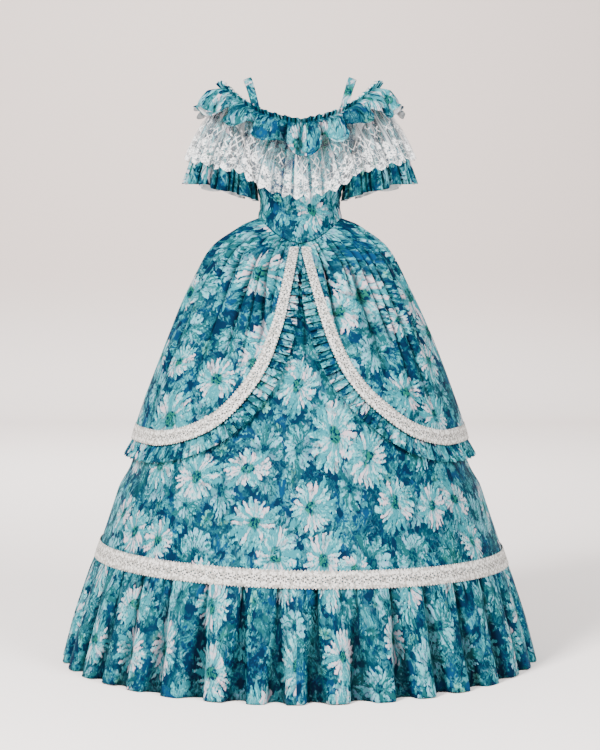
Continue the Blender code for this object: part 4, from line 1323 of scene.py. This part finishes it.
# Columns of both tables of folds: angle and width in degrees, depth, and reach as a share of the drop
FOLD_START = 0.05
FOLD_SCALE = 1.5
FOLDS_RIGHT = (
    (19.0, 4.2, 0.0130, 0.34), (33.0, 6.0, 0.0120, 0.22), (50.0, 7.0, 0.0100, 0.30),
    (69.0, 8.0, 0.0090, 0.24), (98.0, 9.0, 0.0100, 0.34), (127.0, 9.0, 0.0090, 0.28),
    (155.0, 9.0, 0.0100, 0.34),
)
FOLDS_LEFT = (
    (20.5, 4.5, 0.0110, 0.30), (36.0, 7.0, 0.0130, 0.32), (54.0, 7.0, 0.0100, 0.24),
    (73.0, 8.0, 0.0100, 0.34), (101.0, 9.0, 0.0090, 0.28), (129.0, 9.0, 0.0100, 0.34),
    (157.0, 9.0, 0.0090, 0.30),
)
OVERSKIRT_TUCK = (-0.0035, 0.0008)
rising_rows = [row for row in EDGE_LINE if row[1] <= 56.0][::-1]
edge_angle_at = table_curve(rising_rows, EDGE_COLUMNS, "height", "angle_left")


def overskirt_fold(angle, drop):
    """How far the measured folds push the overskirt at an angle in degrees, right side negative."""
    push = 0.0
    grown = ease(drop / FOLD_START)
    for table, chosen in ((FOLDS_LEFT, angle >= 0), (FOLDS_RIGHT, angle < 0)):
        for middle, width, depth, reach in table:
            groove = trough(np.abs(angle) - middle, width, 0.5, 4)
            fading = 1 - grow(drop, 0.35 * reach, reach)
            push = push - np.where(chosen, FOLD_SCALE * depth * groove * grown * fading, 0.0)
    return push


def held_flat(angle, height):
    """0 beside the sweeping edge, where the trim holds the cloth flat, and 1 farther on."""
    return ease((np.abs(angle) - edge_angle_at(height) - FLAT_DEGREES) / FLAT_FADE_DEGREES)


def overskirt_point(angle, height, outwards=0.0):
    """Points on the overskirt's measured outer face, angle in degrees."""
    turn = np.radians(angle)
    push = overskirt_fold(angle, skirt_drop(turn, height)) * held_flat(angle, height)
    return skirt_point(turn, height, push + outwards)


def edge_sample(side):
    """Even samples of the trim's middle line on one side: angles and heights."""
    angles = column(EDGE_LINE, EDGE_COLUMNS, "angle_left" if side > 0 else "angle_right")
    heights = column(EDGE_LINE, EDGE_COLUMNS, "height")
    steps = np.hypot(np.radians(np.diff(angles)) * EDGE_RADIUS, np.diff(heights))
    run = np.concatenate([[0.0], np.cumsum(steps)])
    even = np.linspace(0.0, run[-1], EDGE_SAMPLES + 1)
    return smooth_curve(run, angles)(even), smooth_curve(run, heights)(even)


EDGES = {side: edge_sample(side) for side in (-1, 1)}


def edge_place(side, along, across):
    """(angle, height) beside the trim's middle line. Along is 0 to 1, across is positive past the edge."""
    shares = np.linspace(0, 1, EDGE_SAMPLES + 1)
    angles, heights = EDGES[side]
    angle, height = side * np.interp(along, shares, angles), np.interp(along, shares, heights)
    step = 3.5 / EDGE_SAMPLES
    ends = []
    for sign in (-1, 1):
        end = np.clip(along + sign * step, 0, 1)
        end_angle, end_height = side * np.interp(end, shares, angles), np.interp(end, shares, heights)
        ends.append(overskirt_point(end_angle, end_height))
    before, after = ends
    turn_step, fall_step = 0.05 * side, 0.0005
    here = overskirt_point(angle, height)
    turned_by = overskirt_point(angle + turn_step, height) - here
    fallen_by = overskirt_point(angle, height - fall_step) - here
    outward = unit(np.cross(fallen_by, turned_by)) * side
    past = unit(np.cross(after - before, outward)) * side * np.asarray(across)[..., None]
    turns = (past * unit(turned_by)).sum(-1) / np.linalg.norm(turned_by, axis=-1)
    falls = (past * unit(fallen_by)).sum(-1) / np.linalg.norm(fallen_by, axis=-1)
    return angle + turns * turn_step, height - falls * fall_step


def trim_width(along):
    """The trim is narrower where it leaves the waist."""
    return TRIM_WIDTH_TOP + (TRIM_WIDTH - TRIM_WIDTH_TOP) * ease(along / 0.34)


# %% Overskirt halves
WAIST_GATHER_COUNT = 50
WAIST_GATHER_SIZE = 0.0135
LONG_GATHER_COUNT = 27
LONG_GATHER_SIZE = 0.0220
# Columns: side, angle at the waist and at the end in degrees, reach, width in degrees, depth
LONG_CREASES = (
    (-1, 24.0, 16.0, 0.27, 1.9, 0.0300), (-1, 46.0, 44.0, 0.18, 2.0, 0.0220),
    (-1, 66.0, 64.0, 0.24, 2.4, 0.0200), (1, 28.0, 28.5, 0.14, 1.6, 0.0240),
    (1, 15.5, 18.5, 0.22, 1.8, 0.0280), (1, 41.0, 43.0, 0.30, 2.0, 0.0240),
    (1, 62.0, 63.0, 0.22, 2.4, 0.0200), (-1, 92.0, 90.0, 0.26, 3.0, 0.0110),
    (1, 88.0, 90.0, 0.16, 3.0, 0.0110), (-1, 118.0, 117.0, 0.15, 3.0, 0.0110),
    (1, 112.0, 115.0, 0.28, 3.0, 0.0120), (-1, 142.0, 144.0, 0.30, 3.0, 0.0120),
    (1, 138.0, 140.0, 0.14, 3.0, 0.0110), (-1, 166.0, 165.0, 0.18, 3.0, 0.0110),
    (1, 163.0, 164.0, 0.24, 3.0, 0.0110),
)
OVERSKIRT_COLUMNS = 250
OVERSKIRT_ROWS = 88
OUTLINE_SAMPLES = 481
OVERSKIRT_PRINT = {1: (2.3, 1.9), -1: (-2.3, 0.7)}
OVERSKIRT_FULLNESS = 1.3
# Each level of the rising edge is kept at least this much above the one before
LEVEL_STEP = 1e-6


def waist_gathers(angle, drop):
    """Gathers that stand out below the waist seam: short fine ones, and longer ones among them."""
    turn = np.radians(angle)
    reach = 0.13 + 0.05 * np.sin(13 * turn + 1.0)
    fine = gathers(turn, WAIST_GATHER_COUNT, 0.9)
    fine = fine * WAIST_GATHER_SIZE * ease(drop / 0.016) * (1 - ease(drop / reach))
    long = gathers(turn, LONG_GATHER_COUNT, 2.2) - 0.6
    reach = 0.42 + 0.12 * np.sin(7 * turn + 2.0)
    long = long * LONG_GATHER_SIZE * grow(drop, 0.01, 0.08) * (1 - grow(drop, 0.05, reach))
    return fine + long


def long_creases(angle, height, drop):
    """The few deep creases, each a narrow trough that leans as it falls."""
    push = 0.0
    loose = ease((np.abs(angle) - edge_angle_at(height) - 1.5) / 2.5)
    for side, first, last, reach, width, depth in LONG_CREASES:
        middle = side * (first + (last - first) * drop / reach)
        groove = trough(angle - middle, width * (0.6 + 0.4 * drop / reach), 0.45, 6)
        fading = 1 - grow(drop, 0.6 * reach, 0.5 * reach)
        push = push - depth * groove * ease(drop / 0.015) * fading
    return push * loose


def overskirt_outline(side):
    """The cut edge, as it rises to the waist and as it runs round to the back."""
    along = np.linspace(0.0, 1.0, OUTLINE_SAMPLES)
    angle, height = edge_place(side, along, trim_width(along) / 2)
    angle = np.abs(angle)
    lowest = int(np.argmin(np.where(angle < 75, height, np.inf)))
    return (angle[: lowest + 1], height[: lowest + 1]), (angle[lowest::8], height[lowest::8])


for side, hand in SIDES:
    (rising_angle, rising_height), (running_angle, running_height) = overskirt_outline(side)
    top = waist_seam_height(np.radians(rising_angle))
    rising_level = (top - rising_height) / (top - rising_height[-1]) + LEVEL_STEP * np.arange(len(top))
    start_at = smooth_curve(np.maximum.accumulate(rising_level), rising_angle)
    bottom_at = smooth_curve(running_angle, running_height)
    rows, angles = [], []
    for below in OVERSKIRT_TUCK:
        angle = np.linspace(rising_angle[0], 180, OVERSKIRT_COLUMNS)
        rows.append(tuck_point(np.radians(side * angle), below, 0))
        angles.append(angle)
    for level in FIRST_SHARE + (1 - FIRST_SHARE) * np.linspace(0, 1, OVERSKIRT_ROWS) ** 1.15:
        angle = np.linspace(start_at(level), 180, OVERSKIRT_COLUMNS)
        top = waist_seam_height(np.radians(angle))
        height = top + (bottom_at(angle) - top) * level
        drop = skirt_drop(np.radians(angle), height)
        near_hem = 1 - grow(level, 0.82, 0.14)
        beside = ease((angle - edge_angle_at(height) - 1.5) / 3.5)
        proud = waist_gathers(side * angle, drop) * beside * near_hem
        proud += long_creases(side * angle, height, drop)
        rows.append(overskirt_point(side * angle, height, proud))
        angles.append(angle)
    points = np.array(rows)
    cut = sector_place(np.radians(side * np.array(angles)), points[..., 2]) + OVERSKIRT_PRINT[side]
    rests_on = ["underskirt_front_cloth", "bodice_front_cloth"]
    print_piece(
        "overskirt_" + hand, points, cut, "gathered", rests_on, OVERSKIRT_FULLNESS, turn_over=side < 0
    )

# %% [markdown]
# ## Ribbon trims
# The ribbon is stitched flat over each sweeping edge and over the flounce seam. Its two edges are scalloped
# about every eight millimetres. Each ribbon is a narrow sheet whose edge rows swing in and out, so the
# scallops are real edges and catch the light.

# %% Ribbon trims
TRIM_LIFT = 0.0011
TRIM_TOP_LIFT = 0.0012
HEM_TRIM_SPAN = (0.029, -0.013)
HEM_TRIM_LIFT = 0.0042
SCALLOP_PITCH = 0.0084
SCALLOP_CUT = 0.0040
STEPS_A_SCALLOP = 8
RIBBON_ROWS = 5
RIBBON_OVERHANG = 0.0006
RUN_SAMPLES = 600
HEM_SCALLOPS = 400


def ribbon_rows(half_width, along):
    """Distances of the ribbon's rows from its middle line, with scalloped outer rows."""
    swing = SCALLOP_CUT * (1 - np.abs(np.sin(np.pi * along / SCALLOP_PITCH)))
    reach = half_width + RIBBON_OVERHANG
    return [share * (reach - swing * abs(share) ** 4) for share in np.linspace(-1, 1, RIBBON_ROWS)]


for side, hand in SIDES:
    name = "edge_trim_" + hand
    even = np.linspace(EDGE_START, EDGE_END, RUN_SAMPLES)
    middle_line = overskirt_point(*edge_place(side, even, 0.0 * even))
    run = lengths(middle_line[None], 1)[0]
    count = int(run[-1] / SCALLOP_PITCH) * STEPS_A_SCALLOP
    far = np.linspace(0, run[-1], count + 1)
    along = np.interp(far, run, even)
    lift = FINE_CLOTH + TRIM_LIFT + TRIM_TOP_LIFT * (1 - ease(along / 0.10))
    rows, cuts = [], []
    for across in ribbon_rows(trim_width(along) / 2, far):
        rows.append(overskirt_point(*edge_place(side, along, across), lift))
        cuts.append(np.stack([far, across], axis=-1))
    points, cut = np.array(rows), np.array(cuts)
    piece = make_sheet(
        name + "_ribbon", points, cut, [ribbon_face], turn_over=side < 0, thickness=FLAT_RIBBON
    )
    place_sheet(piece, points, name)

angle = np.linspace(0, 2 * np.pi, HEM_SCALLOPS * STEPS_A_SCALLOP + 1)
far = np.linspace(0, HEM_SCALLOPS * SCALLOP_PITCH, len(angle))
half_width = (HEM_TRIM_SPAN[0] - HEM_TRIM_SPAN[1]) / 2
middle_height = flounce_seam_height(angle) + (HEM_TRIM_SPAN[0] + HEM_TRIM_SPAN[1]) / 2
rows, cuts = [], []
for across in ribbon_rows(half_width, far)[::-1]:
    rows.append(skirt_point(angle, middle_height + across, HEM_TRIM_LIFT))
    cuts.append(np.stack([far, across], axis=-1))
points, cut = np.array(rows), np.array(cuts)
piece = make_sheet("hem_trim_ribbon", points, cut, [ribbon_face], ring=True, thickness=FLAT_RIBBON)
rests_on = ["underskirt_front_cloth", "hem_flounce_cloth"]
place_sheet(piece, points, "hem_trim")

# %% [markdown]
# ## Pleated frills
# A strip of print cloth is folded into knife pleats and caught under each sweeping edge. A knife pleat is
# an S seen from its end: the face, a fold, a return underneath, and a fold back. One short table gives that
# S, and it is repeated along the edge. Its third column is how far each place lies under the next pleat,
# and sets the painted shade along the root of each pleat.

# %% Frills
FRILL_COLUMNS = ("along", "depth")
FRILL_DEPTHS = (
    (0.000, 0.004), (0.038, 0.007), (0.085, 0.020), (0.130, 0.031), (0.220, 0.041), (1.000, 0.044),
)
frill_depth = table_curve(FRILL_DEPTHS, FRILL_COLUMNS, "along", "depth")
FRILL_SOONER = {1: 0.007, -1: 0.0}
FRILL_START = 0.038
FRILL_WAVE = 0.0062
FRILL_LAP = 0.0045
FRILL_TUCK = 0.0047
FRILL_TOP_TUCK = 0.0031
FRILL_RISE = 0.0010
FRILL_BACK_RISE = 0.0020
FRILL_PLEATS = 84
PLEAT_COLUMNS = ("place", "rise", "under")
PLEAT = (
    (0.00, -0.55, 1.0), (0.28, -0.15, 0.2), (0.60, 0.35, 0.0), (0.90, 0.85, 0.0), (1.03, 1.00, 0.0),
    (1.06, 0.80, 0.2), (1.00, 0.40, 0.7), (0.86, -0.50, 1.0), (0.84, -0.80, 1.0), (0.90, -0.80, 1.0),
)
FRILL_ROWS = 6
FRILL_CUT_DEPTH = 0.045
FRILL_PRINT = (0.55, 1.9)
FRILL_FULLNESS = 1.05
inside = -CLOTH - LAYER_GAP
places, rises, under_pleat_shade = [np.tile(column(PLEAT, PLEAT_COLUMNS, name), FRILL_PLEATS) for name in PLEAT_COLUMNS]
whole = np.repeat(np.arange(FRILL_PLEATS), len(PLEAT))
pleat_place = whole + places + 0.05 * np.sin(1.7 * whole)
pleat_rise = rises * (1 + 0.25 * np.sin(2.3 * whole))
for side, hand in SIDES:
    along = FRILL_START + (EDGE_END - FRILL_START) * np.clip(pleat_place / FRILL_PLEATS, 0, 1)
    start = trim_width(along) / 2 - FRILL_LAP
    sooner = FRILL_SOONER[side] * bell(along, 0.085, 0.045)
    tuck = FRILL_TUCK + FRILL_TOP_TUCK * (1 - ease(along / 0.14))
    rows = []
    for share in np.linspace(0, 1, FRILL_ROWS):
        size = FRILL_WAVE * (0.35 + 0.95 * share) * (0.3 + 0.7 * ease(along / 0.10))
        across = start + (FRILL_LAP + frill_depth(along) + sooner) * share + 0.0022 * pleat_rise * share**2
        out = inside - tuck * (1 - share) - 0.0006 + FRILL_RISE * share + size * pleat_rise
        out += FRILL_BACK_RISE * grow(along, 0.35, 0.15) * share
        rows.append(overskirt_point(*edge_place(side, along, across), out))
    points = np.array(rows)
    flat_run = lengths(points[-1:], 1)[0]
    across = np.linspace(0, 1, FRILL_ROWS)[:, None] * FRILL_CUT_DEPTH
    cut = np.stack(np.broadcast_arrays(flat_run[None], -across), axis=-1)
    cut = cut + (side * FRILL_PRINT[0], FRILL_PRINT[1])
    print_piece(
        "edge_frill_" + hand, points, cut, "folded", [f"overskirt_{hand}_cloth"], FRILL_FULLNESS,
        turn_over=side < 0, thickness=0.0005, under=under_pleat_shade,
    )

# %% [markdown]
# ## Floor, light and camera
# The gown stands on a pale studio floor that curves up behind it, so there is no horizon line. One large
# soft light hangs to the left, in front and above. A weaker one fills from the right, a third lights the
# backdrop, and the pale world does the rest. The backdrop stands far enough away for a look from behind.
# The camera is five metres away at skirt height, with a long lens, so the skirt's sides are hardly widened.

# %% Floor and backdrop
FLOOR = -WAIST_HEIGHT
BACKDROP_AT = 8.6
CURVE_RADIUS = 1.4
FLOOR_FRONT = -7.0
BACKDROP_TOP = 6.0
HALF_FLOOR = 9.0
# The paper's tone from the floor to the top of the wall; the darker top is painted shade
PAPER_LOW = (0.99, 0.915, 0.885)
PAPER_SHADED_TOP = (0.704, 0.610, 0.572)
PAPER_PATCHES = (0.60, 0.56, 0.54)
bend = np.linspace(0, math.pi / 2, 24)
line_y = [FLOOR_FRONT, *(BACKDROP_AT + CURVE_RADIUS * np.sin(bend)), BACKDROP_AT + CURVE_RADIUS]
line_z = [FLOOR, *(FLOOR + CURVE_RADIUS * (1 - np.cos(bend))), BACKDROP_TOP]
places = [(x, y, z) for y, z in zip(line_y, line_z) for x in (-HALF_FLOOR, HALF_FLOOR)]
faces = [(2 * k, 2 * k + 1, 2 * k + 3, 2 * k + 2) for k in range(len(line_y) - 1)]
mesh = bpy.data.meshes.new("studio_floor")
mesh.from_pydata(places, [], faces)
mesh.polygons.foreach_set("use_smooth", [True] * len(faces))
floor = bpy.data.objects.new("studio_floor", mesh)
bpy.context.scene.collection.objects.link(floor)
paper = bpy.data.materials.new("studio_paper")
paper.use_nodes = True
r = Recipe(paper.node_tree)
where = r.add("ShaderNodeTexCoord").outputs["Object"]
height = r.add("ShaderNodeSeparateXYZ", {0: where}).outputs[2]
# Painted shade: the paper darkens from the floor up the wall, for light that falls off towards the top
tint = r.blend(r.step(height, FLOOR + 0.02, FLOOR + 1.15), PAPER_LOW, PAPER_SHADED_TOP)
tint = r.blend(r.times(r.noise(where, 1.2, 3.0)[0], 0.06), tint, PAPER_PATCHES)
r.wire(tint, paper.node_tree.nodes["Principled BSDF"].inputs["Base Color"])
paper.node_tree.nodes["Principled BSDF"].inputs["Roughness"].default_value = 0.9
mesh.materials.append(paper)
floor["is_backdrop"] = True


# %% Lights and camera
def add_light(name, place, aim, size, power, colour):
    """A soft square light that faces a point."""
    lamp = bpy.data.lights.new(name, "AREA")
    lamp.shape = "SQUARE"
    lamp.size = size
    lamp.energy = power
    lamp.color = colour
    made = bpy.data.objects.new(name, lamp)
    made.location = place
    way = np.array(aim) - np.array(place)
    made.rotation_euler = (
        math.acos(-way[2] / np.linalg.norm(way)),
        0.0,
        math.atan2(way[1], way[0]) - math.pi / 2,
    )
    bpy.context.scene.collection.objects.link(made)


LIGHT_COLUMNS = ("name", "place", "aim", "size", "power", "colour")
LIGHTS = (
    ("key_light", (-2.9, -4.0, 3.0), (0.0, 0.0, -0.4), 1.3, 1020.0, (1.0, 0.985, 0.97)),
    ("fill_light", (3.3, -3.9, 2.2), (0.0, 0.0, -0.4), 2.0, 430.0, (0.98, 0.99, 1.0)),
    ("back_light", (-1.2, 4.0, 4.0), (-0.6, 8.0, 0.4), 2.5, 640.0, (1.0, 0.99, 0.98)),
)
for light in LIGHTS:
    add_light(**dict(zip(LIGHT_COLUMNS, light)))

world = bpy.data.worlds.new("studio_air")
world.use_nodes = True
air = world.node_tree.nodes["Background"].inputs
air["Color"].default_value = (0.90, 0.885, 0.87, 1.0)
air["Strength"].default_value = 0.80
bpy.context.scene.world = world

CAMERA_DISTANCE = 5.0
CAMERA_HEIGHT = -0.180
FOCAL_PIXELS = 1923.08
PICTURE_HEIGHT = 750
HORIZON_RISE = 88
eye = bpy.data.cameras.new("studio_camera")
eye.sensor_fit = "VERTICAL"
eye.sensor_height = 36.0
eye.lens = FOCAL_PIXELS / PICTURE_HEIGHT * eye.sensor_height
camera = bpy.data.objects.new("studio_camera", eye)
camera.location = (0.0, -CAMERA_DISTANCE, CAMERA_HEIGHT)
camera.rotation_euler = (math.pi / 2 - math.atan2(HORIZON_RISE, FOCAL_PIXELS), 0.0, 0.0)
bpy.context.scene.collection.objects.link(camera)
bpy.context.scene.camera = camera
print("Lens", round(eye.lens, 1), "mm")

# %% Print the measured and the dressed size
new_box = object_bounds()
sizes = {"cad": [list(map(float, c)) for c in cad_box], "scene": [list(map(float, c)) for c in new_box]}
print("Measured box", np.round(cad_box, 3).tolist(), "and dressed box", np.round(new_box, 3).tolist())
